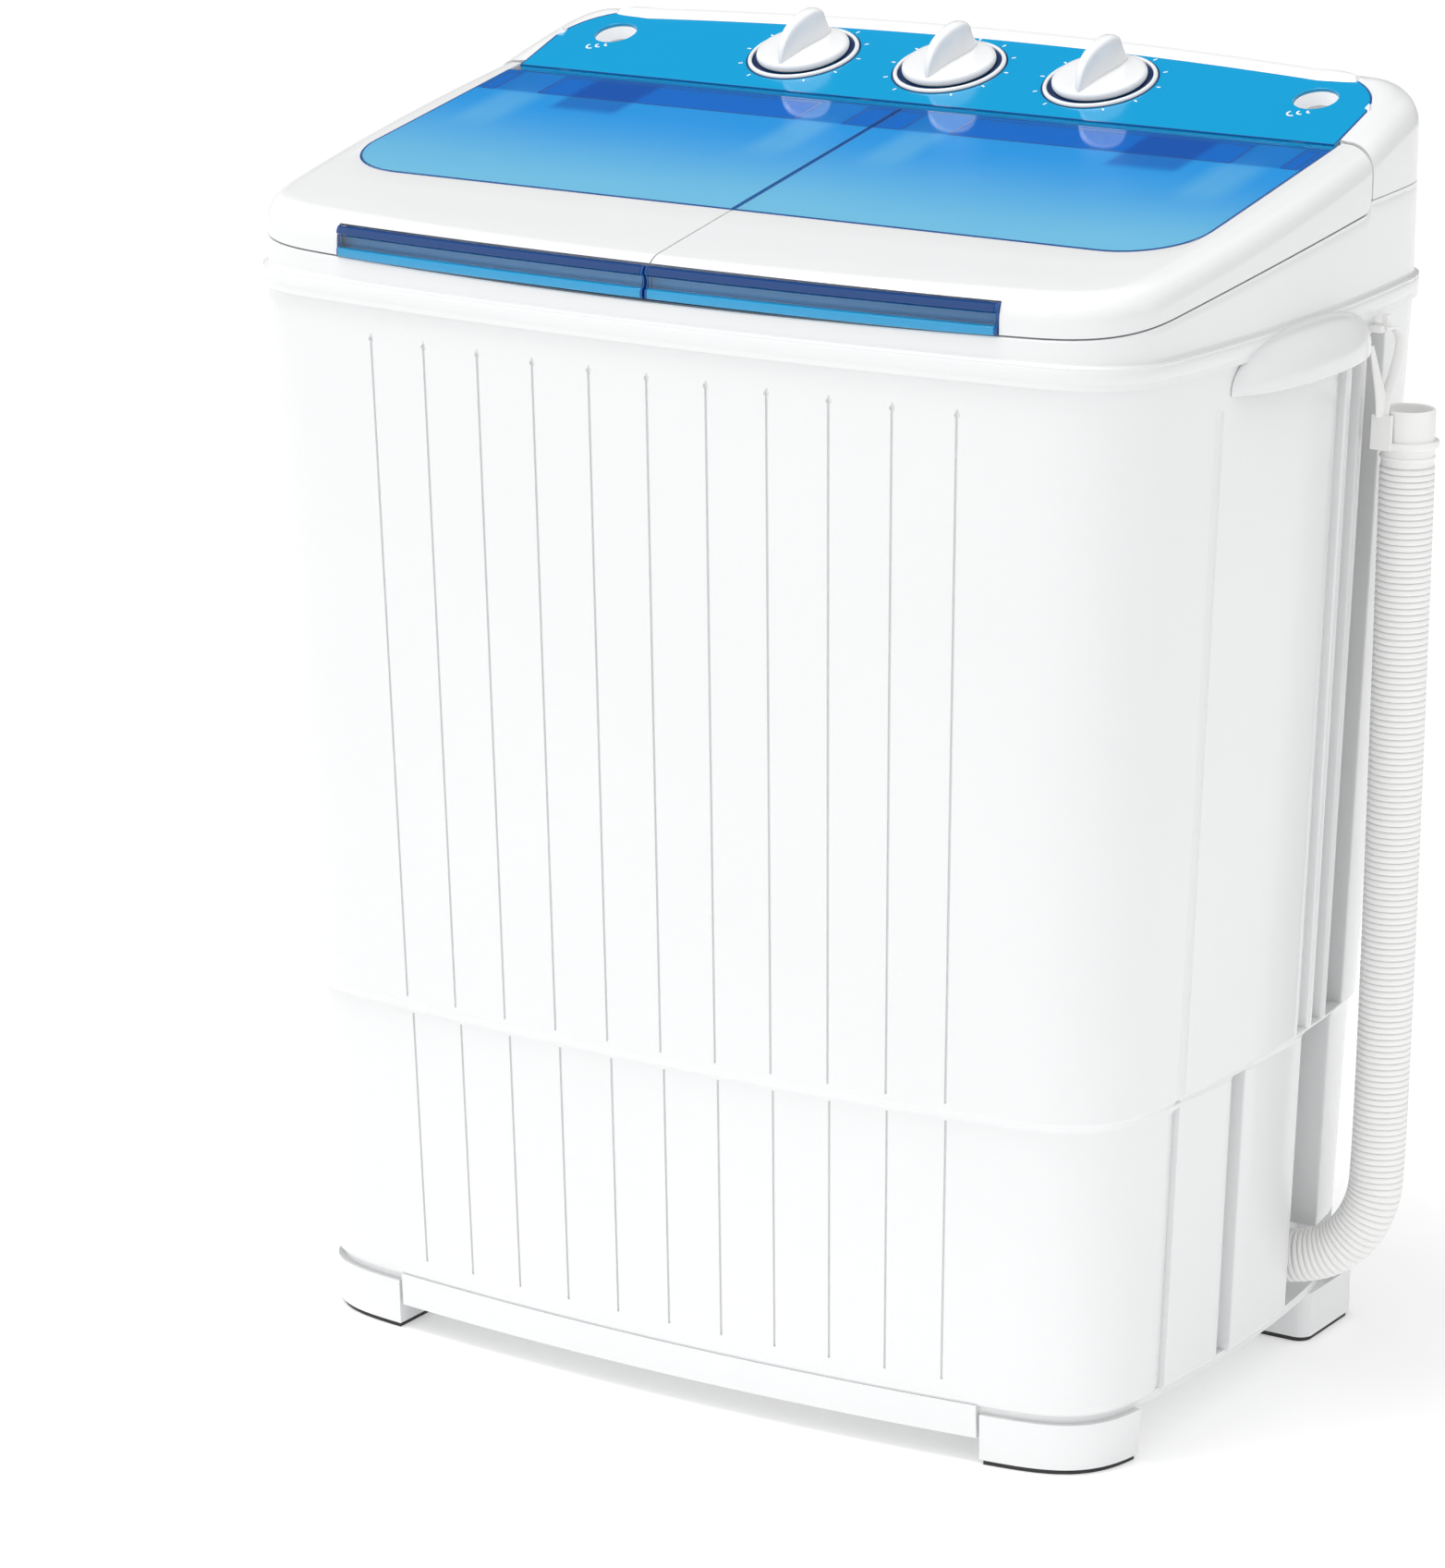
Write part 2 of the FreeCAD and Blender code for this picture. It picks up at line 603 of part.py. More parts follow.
def front_strip(x_end, z0, z1, outset, depth):
    """Band along the bowed front wall from the middle to x_end, for the handle and its pocket."""
    band = upper_prism(z0, z1, -outset).cut(upper_prism(z0 - 1, z1 + 1, depth))
    return band.common(box(-x_end, x_end, -SIDE_REACH, -150, z0, z1))


def make_lid_frame(side):
    """White surround of one lid: apron and skirt at the front and the outer side."""
    shell = make_lid_body(0, 0).cut(make_lid_body(WALL, LID_SKIN))
    apron = shell.cut(window_prism())
    ledge = window_prism(-4).cut(window_prism(WINDOW_LEDGE)).common(below_lid_plane(LID_SKIN))
    ledge = ledge.cut(below_lid_plane(2 * LID_SKIN)).cut(box(-400, 400, HINGE_Y - 14, 200, 500, 800))
    frame = apron.fuse(ledge).removeSplitter().common(skirt_keep())
    rear_inner = box(-PANEL_HALF_WIDTH - 2.3, PANEL_HALF_WIDTH + 2.3, HINGE_Y - 12, 120, 500, 800)
    pocket = front_strip(HANDLE_END_X + 0.3, 610, HANDLE_TOP + 0.3, 10, 7)
    return one_side(frame.cut([rear_inner, pocket]), side)


def make_lid_window(side):
    """Clear blue lid plate with the hinge rail rolled over its rear edge."""
    plate = window_prism(0.2).common(below_lid_plane(0)).cut(below_lid_plane(LID_SKIN))
    plate = plate.common(box(-SIDE_REACH, SIDE_REACH, -200, HINGE_Y, 500, 800))
    reach = PANEL_HALF_WIDTH
    rail = x_cylinder(-reach, reach, HINGE_Y, HINGE_Z, HINGE_DEPTH)
    web = box(-reach, reach, HINGE_Y - 7, HINGE_Y, HINGE_Z - 3, 700).common(below_lid_plane(0))
    body = fuse_all([plate, rail, web])
    cuts = []
    for x in HINGE_X:
        middle = side * x
        cuts.append(box(middle - 4.6, middle + 4.6, HINGE_Y - 5.6, HINGE_Y + 12, HINGE_Z - 20, HINGE_Z + 5.6))
        cuts.append(x_cylinder(middle - 13, middle + 13, HINGE_Y, HINGE_Z, HINGE_PIN_R + RUNNING_GAP))
    return one_side(body, side).cut(cuts)


def make_lid_handle(side):
    """Clear blue pull strip with a bevelled nose under the apron."""
    strip = front_strip(HANDLE_END_X, 621.5, HANDLE_TOP, HANDLE_OUTSET, 6.5)
    bevel_section = [(-230, 646), (-230, 629), (-HANDLE_NOSE_Y, 629), (-HANDLE_NOSE_Y + 13, 646)]
    strip = strip.cut(polygon_extrude(bevel_section, -SIDE_REACH, SIDE_REACH))
    return one_side(strip.common(above_seam(LID_GAP + 0.4, 740)), side)


# ---------------------------------------------------------------- tubs and basket
TUB_WALL = 3.0
TUB_TAPER = 6.0


def under_deck_plate(shape):
    return shape.cut(above_seam(-DECK_PLATE_DROP - DECK_PLATE, 760))


def make_wash_tub():
    half_x, half_y = WASH_HALF
    outer = rounded_prism(WASH_X, TUB_Y, half_x + TUB_WALL, half_y + TUB_WALL, WASH_CORNER + TUB_WALL,
                          WASH_FLOOR - 4, 680, TUB_TAPER)
    inner = rounded_prism(WASH_X, TUB_Y, half_x, half_y, WASH_CORNER, WASH_FLOOR, 690, TUB_TAPER)
    holes = [cylinder(WASH_X, TUB_Y, 240, 260, 12), cylinder(SUMP_X, SUMP_Y, 240, 260, 11)]
    return under_deck_plate(outer.cut(inner)).cut(holes)


def make_spin_tub():
    body = cylinder(SPIN_X, TUB_Y, SPIN_TUB_FLOOR - 4, 680, SPIN_TUB_R + TUB_WALL)
    body = body.cut(cylinder(SPIN_X, TUB_Y, SPIN_TUB_FLOOR, 690, SPIN_TUB_R))
    holes = [cylinder(SPIN_X, TUB_Y, 190, 210, 16), cylinder(SPIN_DRAIN_X, SPIN_DRAIN_Y, 190, 210, 8)]
    return under_deck_plate(body).cut(holes)


def make_spin_basket():
    """Perforated drum with a raised hub."""
    body = cylinder(SPIN_X, TUB_Y, BASKET_FLOOR, BASKET_TOP, BASKET_R)
    body = body.cut(cylinder(SPIN_X, TUB_Y, BASKET_FLOOR + 3, BASKET_TOP + 1, BASKET_R - 2))
    hub = cylinder(SPIN_X, TUB_Y, BASKET_FLOOR - 8, BASKET_FLOOR + 12, 18)
    body = body.fuse(hub).removeSplitter()
    holes = [cylinder(SPIN_X, TUB_Y, 200, 270, 6)]
    for row in range(5):
        for column in range(8):
            hole = Part.makeCylinder(3, 20, Vec(BASKET_R - 10, 0, 270 + 62 * row), X_AXIS)
            hole.rotate(Vec(0, 0, 0), Z_AXIS, 45 * column + 22.5 * (row % 2))
            hole.translate(Vec(SPIN_X, TUB_Y, 0))
            holes.append(hole)
    return body.cut(holes)


def make_balance_ring():
    return tube(SPIN_X, TUB_Y, BASKET_TOP - 16, BASKET_TOP + 3, BASKET_R + 3, BASKET_R - 7).cut(
        tube(SPIN_X, TUB_Y, BASKET_TOP - 20, BASKET_TOP, BASKET_R, BASKET_R - 2))


def make_spin_cover():
    """Loose safety cover over the spin mouth, with finger slots."""
    disc = cylinder(SPIN_X, TUB_Y, 600, 690, 101).common(above_seam(-DECK_PLATE_DROP + 0.3, 760))
    disc = disc.cut(above_seam(-DECK_PLATE_DROP + 2.8, 770))
    plug = tube(SPIN_X, TUB_Y, 600, 690, 95, 92).common(above_seam(-DECK_PLATE_DROP - 4, 760))
    plug = plug.cut(above_seam(-DECK_PLATE_DROP + 1, 770))
    slots = []
    for index in range(6):
        slot = rounded_prism(52, 0, 22, 7, 6.9, 590, 700)
        slot.rotate(Vec(0, 0, 0), Z_AXIS, 60 * index)
        slot.translate(Vec(SPIN_X, TUB_Y, 0))
        slots.append(slot)
    return disc.fuse(plug).removeSplitter().cut(slots)


def make_lint_filter():
    """Clip-in lint filter on the rear wall of the wash tub."""
    frame = box(WASH_X - 32, WASH_X + 32, 30, 44, 470, 590)
    hollow = box(WASH_X - 28, WASH_X + 28, 33, 41, 474, 586)
    mouth = box(WASH_X - 26, WASH_X + 26, 25, 34, 520, 580)
    return frame.cut([hollow, mouth])


# ---------------------------------------------------------------- wash drive
def make_pulsator():
    disc = cylinder(WASH_X, TUB_Y, 262, 268, 84)
    hub = cylinder(WASH_X, TUB_Y, 262, 284, 17)
    ribs = []
    for index in range(6):
        corners = [Vec(12, 0, 267), Vec(80, 0, 267), Vec(76, 0, 272), Vec(16, 0, 282)]
        section = Part.makePolygon(corners + corners[:1])
        rib = Part.Face(section).extrude(Vec(0, 7, 0)).translated(Vec(0, -3.5, 0))
        rib.rotate(Vec(0, 0, 0), Z_AXIS, 60 * index)
        rib.translate(Vec(WASH_X, TUB_Y, 0))
        ribs.append(rib)
    return fuse_all([disc, hub] + ribs).cut(cylinder(WASH_X, TUB_Y, 250, 276, 6))


def make_pulsator_shaft():
    return cylinder(WASH_X, TUB_Y, PULLEY_Z - 10, 276, 6)


def make_wash_seal():
    return tube(WASH_X, TUB_Y, WASH_FLOOR - 4, WASH_FLOOR + 4, 12, 6 + RUNNING_GAP)


def make_bearing_housing():
    body = cylinder(WASH_X, TUB_Y, 205, WASH_FLOOR - 4, 24)
    flange = cylinder(WASH_X, TUB_Y, WASH_FLOOR - 8, WASH_FLOOR - 4, 44)
    return body.fuse(flange).removeSplitter().cut(cylinder(WASH_X, TUB_Y, 190, 260, 6 + RUNNING_GAP))


def make_pulley(y, groove_r, flange_r, bore_r):
    body = cylinder(WASH_X, y, PULLEY_Z - 7, PULLEY_Z + 7, flange_r)
    groove = tube(WASH_X, y, PULLEY_Z - 4.5, PULLEY_Z + 4.5, flange_r + 2, groove_r)
    cuts = [groove, cylinder(WASH_X, y, 90, 150, bore_r)]
    if groove_r > 40:
        for index in range(5):
            hole = cylinder(39, 0, 100, 140, 13)
            hole.rotate(Vec(0, 0, 0), Z_AXIS, 72 * index)
            cuts.append(hole.translated(Vec(WASH_X, y, 0)))
    return body.cut(cuts)


def belt_face(big_r, small_r):
    """Face of the open loop round both pulleys."""
    span = WASH_MOTOR_Y - TUB_Y
    lean = math.asin((big_r - small_r) / span)
    side_x = math.cos(lean)
    side_y = math.sin(lean)

    def at(y, radius, sx):
        return (WASH_X + sx * radius * side_x, y + radius * side_y, PULLEY_Z - 4)

    edges = [
        Part.makeLine(Vec(*at(TUB_Y, big_r, 1)), Vec(*at(WASH_MOTOR_Y, small_r, 1))),
        arc(at(WASH_MOTOR_Y, small_r, 1), (WASH_X, WASH_MOTOR_Y + small_r, PULLEY_Z - 4),
            at(WASH_MOTOR_Y, small_r, -1)),
        Part.makeLine(Vec(*at(WASH_MOTOR_Y, small_r, -1)), Vec(*at(TUB_Y, big_r, -1))),
        arc(at(TUB_Y, big_r, -1), (WASH_X, TUB_Y - big_r, PULLEY_Z - 4), at(TUB_Y, big_r, 1)),
    ]
    return Part.Face(Part.Wire(Part.__sortEdges__(edges)))


def make_belt():
    clear = 0.15
    big = BIG_PULLEY_R + clear
    small = SMALL_PULLEY_R + clear
    outer = belt_face(big + BELT_THICKNESS, small + BELT_THICKNESS).extrude(Vec(0, 0, 8))
    return outer.cut(belt_face(big, small).extrude(Vec(0, 0, 8)))


def make_motor(x, y, z0, z1, radius, shaft_r):
    """Induction motor: ribbed stator between two end bells."""
    bells = [cylinder(x, y, z0, z0 + 16, radius), cylinder(x, y, z1 - 16, z1, radius)]
    core = cylinder(x, y, z0 + 16, z1 - 16, radius - 5)
    posts = []
    for index in range(4):
        post = cylinder(radius - 6, 0, z0 + 2, z1 - 2, 4)
        post.rotate(Vec(0, 0, 0), Z_AXIS, 45 + 90 * index)
        posts.append(post.translated(Vec(x, y, 0)))
    return fuse_all(bells + [core] + posts).cut(cylinder(x, y, z0 - 5, z1 + 5, shaft_r + RUNNING_GAP))


def make_wash_motor_bracket():
    """Plate under the wash tub that the motor hangs from, on two posts."""
    plate = rounded_prism(WASH_X, 70, 70, 85, 12, 222, 225.5)
    posts = [cylinder(WASH_X + dx, 10, 225, WASH_FLOOR - 4, 8) for dx in (-55, 55)]
    hanger = box(WASH_X - 60, WASH_X + 60, 148, 152, 225, 300)
    return fuse_all([plate, hanger] + posts).cut(cylinder(WASH_X, WASH_MOTOR_Y, 200, 240, 20))


# ---------------------------------------------------------------- spin drive
SPIN_MOTOR_BOTTOM = 80.0
SPIN_MOTOR_TOP = 158.0
DRUM_Z = (166.0, 186.0)
DRUM_R = 22.0
SPRING_RING_R = 62.0
SPRING_WIRE = 1.6


def make_spin_shaft():
    return cylinder(SPIN_X, TUB_Y, SPIN_MOTOR_BOTTOM - 4, BASKET_FLOOR + 16, 6)


def make_brake_drum():
    return tube(SPIN_X, TUB_Y, DRUM_Z[0], DRUM_Z[1], DRUM_R, 6)


def make_spin_mount():
    """Cradle under the spin motor, with three arms on the springs."""
    plate = cylinder(SPIN_X, TUB_Y, 72, SPIN_MOTOR_BOTTOM, 66)
    arms = []
    for index in range(3):
        arm = cylinder(SPRING_RING_R, 0, 68, 78, 14)
        arm.rotate(Vec(0, 0, 0), Z_AXIS, 90 + 120 * index)
        arms.append(arm.translated(Vec(SPIN_X, TUB_Y, 0)))
    return fuse_all([plate] + arms).cut(cylinder(SPIN_X, TUB_Y, 60, 90, 12))


def make_suspension_springs():
    springs = []
    for index in range(3):
        z0 = CABINET_BOTTOM + SPRING_WIRE
        height = 68 - CABINET_BOTTOM - 2 * SPRING_WIRE
        helix = Part.makeHelix(height / 4, height, 9)
        profile = Part.Wire(Part.makeCircle(SPRING_WIRE, Vec(9, 0, 0), Vec(0, 1, 0)))
        coil = Part.Wire(helix.Edges).makePipeShell([profile], True, True)
        coil.translate(Vec(SPRING_RING_R, 0, z0))
        coil.rotate(Vec(0, 0, 0), Z_AXIS, 90 + 120 * index)
        springs.append(coil.translated(Vec(SPIN_X, TUB_Y, 0)))
    return springs


def make_bellows():
    """Rubber seal between the spin tub floor and the turning shaft, with two folds."""
    flange = [(13, 208), (24, 208), (24, 206), (16, 206), (16, 202), (24, 202), (24, 199), (15, 199)]
    fold_outside = [(20, 196), (13, 192), (13, 189), (6.3, 189)]
    fold_inside = [(6.3, 191), (10, 192), (17, 196), (12, 199)]
    points = flange + fold_outside + fold_inside
    section = Part.makePolygon([Vec(r, 0, z) for r, z in points + points[:1]])
    solid = Part.Face(section).revolve(Vec(0, 0, 0), Z_AXIS, 360)
    return solid.translated(Vec(SPIN_X, TUB_Y, 0))


LEVER_PIVOT = (SPIN_X + 66.0, TUB_Y + 34.0)
BRAKE_WIRE_X = 244.5        # passes between the spin tub and the side wall
BRAKE_WIRE_TOP = 634.0


def make_brake_lever():
    """Lever with the brake shoe, just clear of the drum while the lid is shut."""
    px, py = LEVER_PIVOT
    bar = box(SPIN_X - 8, BRAKE_WIRE_X + 2.5, py - 5, py + 5, 174, 178)
    shoe = box(SPIN_X - 8, SPIN_X + 8, TUB_Y + DRUM_R + 2, py - 5, 169, 183)
    eye = cylinder(px, py, 172, 180, 8)
    wire = cylinder(BRAKE_WIRE_X, py, 176, BRAKE_WIRE_TOP, 1.5)
    return fuse_all([bar, shoe, eye, wire]).cut(cylinder(px, py, 160, 190, 4 + RUNNING_GAP))


def make_brake_pivot():
    px, py = LEVER_PIVOT
    pin = cylinder(px, py, SPIN_TUB_FLOOR - 30, SPIN_TUB_FLOOR - 4, 4).fuse(cylinder(px, py, 164, 180, 4))
    head = cylinder(px, py, 164, 168, 8)
    return fuse_all([pin, head, cylinder(px, py, 184, SPIN_TUB_FLOOR - 4, 9)])


# ---------------------------------------------------------------- drain
SUMP_X = -46.0
SUMP_Y = 14.0
VALVE_Z = (206.0, 246.0)
VALVE_R = 20.0
PIPE_R = 11.0
PIPE_Z = HOSE_ROUTE[0][2]
OUTLET_Y = HOSE_ROUTE[0][1]
SPIN_DRAIN_X = 168.0
OUTLET_R = 13.8
SPIN_DRAIN_Y = 30.0


def pipe_run(points, radius):
    """Straight pipes joined by balls at the bends."""
    shapes = []
    for start, end in zip(points, points[1:]):
        a = Vec(*start)
        b = Vec(*end)
        shapes.append(Part.makeCylinder(radius, (b - a).Length, a, b - a))
    for point in points[1:-1]:
        shapes.append(Part.makeSphere(radius, Vec(*point)))
    return fuse_all(shapes) if len(shapes) > 1 else shapes[0]


def hollow_run(points, radius, wall, start_extend=1.0):
    outer = pipe_run(points, radius)
    a = Vec(*points[0])
    b = Vec(*points[-1])
    first = (Vec(*points[1]) - a).normalize() * start_extend
    last = (b - Vec(*points[-2])).normalize() * start_extend
    stretched = [tuple(a - first)] + points[1:-1] + [tuple(b + last)]
    return outer.cut(pipe_run(stretched, radius - wall))


def make_drain_valve():
    """Inlet from the wash tub floor, the valve chamber and its seat; the plug's rod leaves at the top."""
    low, high = VALVE_Z
    route = [(SUMP_X, SUMP_Y, WASH_FLOOR - 4), (SUMP_X, SUMP_Y, 232), (0, PULL_ROD_Y, 228)]
    chamber = cylinder(0, PULL_ROD_Y, low + 4, high - 3, VALVE_R - 3)
    inlet = hollow_run(route, PIPE_R, 2).cut(cylinder(0, PULL_ROD_Y, 190, 260, VALVE_R - 1))
    body = cylinder(0, PULL_ROD_Y, low, high, VALVE_R).cut(pipe_run(route, PIPE_R - 2))
    seat_hole = cylinder(0, PULL_ROD_Y, low - 5, low + 5, PIPE_R - 2)
    rod_hole = cylinder(0, PULL_ROD_Y, 230, 260, 3.05)
    return body.fuse(inlet).cut([chamber, seat_hole, rod_hole])


def make_valve_plug():
    plug = cylinder(0, PULL_ROD_Y, VALVE_Z[0] + 4.3, VALVE_Z[0] + 18, 14)
    rod = cylinder(0, PULL_ROD_Y, VALVE_Z[0] + 10, 660, 3)
    return plug.fuse(rod).removeSplitter()


def make_drain_pipe():
    """From the valve and the spin tub to the flanged spigot in the side channel, which the hose grips."""
    main = [(0, PULL_ROD_Y, VALVE_Z[0]), (0, PULL_ROD_Y, PIPE_Z), (180, 92, PIPE_Z), (226, OUTLET_Y, PIPE_Z)]
    branch = [(SPIN_DRAIN_X, SPIN_DRAIN_Y, SPIN_TUB_FLOOR - 4), (SPIN_DRAIN_X, SPIN_DRAIN_Y, 110),
              (SPIN_DRAIN_X, 92, PIPE_Z)]
    spigot = x_cylinder(226, HOSE_ROUTE[0][0] - 2.3, OUTLET_Y, PIPE_Z, OUTLET_R)
    flange = x_cylinder(229, 232.5, OUTLET_Y, PIPE_Z, 18)
    return fuse_all([pipe_run(main, PIPE_R), pipe_run(branch, 9), spigot, flange])


def hose_path(points):
    """Straight runs joined by tangent arcs, each as large as its two runs allow."""
    vectors = [Vec(*point) for point in points]
    edges = []
    start = vectors[0]
    for before, corner, after in zip(vectors, vectors[1:], vectors[2:]):
        into = (corner - before)
        out = (after - corner)
        shorter = min(into.Length, out.Length)
        turn = into.getAngle(out)
        reach = 0.45 * shorter
        radius = reach / math.tan(turn / 2)
        print("hose turn %5.1f degrees, radius %6.1f" % (math.degrees(turn), radius))
        into.normalize()
        out.normalize()
        arc_start = corner - into * reach
        arc_end = corner + out * reach
        bisector = (out - into).normalize()
        centre = corner + bisector * (radius / math.cos(turn / 2))
        middle = centre - bisector * radius
        edges.append(Part.LineSegment(start, arc_start).toShape())
        edges.append(Part.Arc(arc_start, middle, arc_end).toShape())
        start = arc_end
    edges.append(Part.LineSegment(start, vectors[-1]).toShape())
    return Part.Wire(edges)


def make_drain_hose():
    path = hose_path(HOSE_ROUTE)
    start = Vec(*HOSE_ROUTE[0])
    direction = (Vec(*HOSE_ROUTE[1]) - start).normalize()
    profile = Part.Wire(Part.makeCircle(HOSE_R, start, direction))
    solid = path.makePipeShell([profile], True, False)
    ideal = math.pi * HOSE_R ** 2 * path.Length
    print("hose length %.1f, volume %.4f of section times length" % (path.Length, solid.Volume / ideal))
    return solid


def make_hose_cuff():
    """Smooth end sleeve of the hose, open at the top."""
    x, y, z = HOSE_ROUTE[-1]
    return cylinder(x, y, z, CUFF_TOP, HOSE_R - 0.5).cut(cylinder(x, y, z + 6, CUFF_TOP + 1, HOSE_R - 2.5))


def make_hose_hanger():
    """Hook in the wall, hanging strap, plate and the ring round the cuff."""
    x, y, z = HOSE_ROUTE[-1]
    ring_z = z + 8
    ring = tube(x, y, ring_z - 2, ring_z + 2, HOSE_R + 2, HOSE_R - 0.4)
    tongue = box(278, 289.5, 81, 91, 589.5, 593.5)
    plate = box(288, 300, 73, 76.4, ring_z - 2, ring_z + 17)
    strap = pipe_run([(287, 84, 591.5), (291, 80, 582), (296, 75.5, 566), (293, 74.7, ring_z + 12)], 2.2)
    return fuse_all([ring, tongue, strap, plate])


# ---------------------------------------------------------------- back, grips and small parts
GLAND_X = -120.0
GLAND_Z = 84.0
GLAND_NECK_R = 6.0


def make_back_cover():
    """Ventilated cover that follows the bowed rear wall."""
    levels = [(58, STEP_INSET), (STEP_LOW, STEP_INSET), (STEP_HIGH, 0), (572, 0)]
    outer = cabinet_solid([(z, inset - 2.5) for z, inset in levels])
    inner = cabinet_solid([(z, inset) for z, inset in levels])
    sheet = outer.cut(inner).common(box(-200, 200, 100, SIDE_REACH, 58, 572))
    louvres = []
    for row in range(8):
        z = 110 + 13 * row
        for x in (-95, 95):
            louvres.append(box(x - 55, x + 55, 100, SIDE_REACH, z, z + 5))
    gland_hole = Part.makeCylinder(GLAND_NECK_R + RUNNING_GAP, 200, Vec(GLAND_X, 100, GLAND_Z), Vec(0, 1, 0))
    return sheet.cut(louvres + [gland_hole])


def back_wall_y(z, inset=0.0):
    return CABINET_HALF_DEPTH - (CABINET_TOP - z) * FRONT_DRAFT - inset


def make_back_screws():
    screws = []
    for x in (-194, 194):
        for z in (64, 230, 400, 566):
            inset = STEP_INSET if z < STEP_LOW else 0.0
            y = back_wall_y(z, inset) - FRONT_BOW * (x / (CABINET_HALF_WIDTH - CORNER)) ** 2 + 3.0
            screws.append(Part.makeCylinder(4, 2.2, Vec(x, y, z), Vec(0, 1, 0)))
    return screws


def make_cord_gland():
    """Empty strain-relief gland for the mains lead; its neck goes through the back cover."""
    bulge = FRONT_BOW * (GLAND_X / (CABINET_HALF_WIDTH - CORNER)) ** 2
    y = back_wall_y(GLAND_Z, STEP_INSET) - bulge + 3.3
    flange = Part.makeCylinder(11, 3, Vec(GLAND_X, y, GLAND_Z), Vec(0, 1, 0))
    neck = Part.makeCylinder(GLAND_NECK_R, 8, Vec(GLAND_X, y - 8, GLAND_Z), Vec(0, 1, 0))
    nose = Part.makeCone(8, 5.5, 14, Vec(GLAND_X, y + 3, GLAND_Z), Vec(0, 1, 0))
    bore = Part.makeCylinder(3.5, 60, Vec(GLAND_X, y - 20, GLAND_Z), Vec(0, 1, 0))
    return fuse_all([flange, neck, nose]).cut(bore)


GRIP_HALF_LENGTH = 79.0
GRIP_REACH = 20.0
GRIP_TOP = CABINET_TOP - 0.5
GRIP_BOTTOM = 580.0


def grip_lens(shrink, z0, z1):
    """Segment of a circle in plan, standing out of the side wall."""
    root_x = 272.0
    end_y = GRIP_HALF_LENGTH - shrink
    tip_x = CABINET_HALF_WIDTH + GRIP_REACH - shrink
    shoulder_x = root_x + 11 - shrink * 0.3
    edges = [
        Part.makeLine(Vec(root_x, -end_y, z0), Vec(shoulder_x, -end_y, z0)),
        arc((shoulder_x, -end_y, z0), (tip_x, 0, z0), (shoulder_x, end_y, z0)),
        Part.makeLine(Vec(shoulder_x, end_y, z0), Vec(root_x, end_y, z0)),
        Part.makeLine(Vec(root_x, end_y, z0), Vec(root_x, -end_y, z0)),
    ]
    return Part.Face(Part.Wire(Part.__sortEdges__(edges))).extrude(Vec(0, 0, z1 - z0))


def make_grip():
    """Hooded hand grip of the right side; fingers go up into it from below."""
    body = grip_lens(0, GRIP_BOTTOM, GRIP_TOP).cut(grip_lens(3, GRIP_BOTTOM - 1, GRIP_TOP - 4))
    wall = cabinet_solid([(500, -0.2), (CABINET_TOP + 1, -0.2)])
    tongue = box(275, SIDE_REACH, 79.5, 95, 570, 600)
    return body.cut([wall, tongue])


def make_capacitors():
    return [cylinder(30, -120, CABINET_BOTTOM, CABINET_BOTTOM + 62, 17),
            cylinder(-20, -120, CABINET_BOTTOM, CABINET_BOTTOM + 54, 15)]


def make_water_spouts():
    """Short ducts that carry the filling water from under the console into each tub."""
    spouts = []
    for x in (-195, 195):
        duct = box(x - 15, x + 15, 44, 73.4, 655, 668).cut(box(x - 13, x + 13, 43, 71, 657, 666))
        spouts.append(duct)
    return spouts


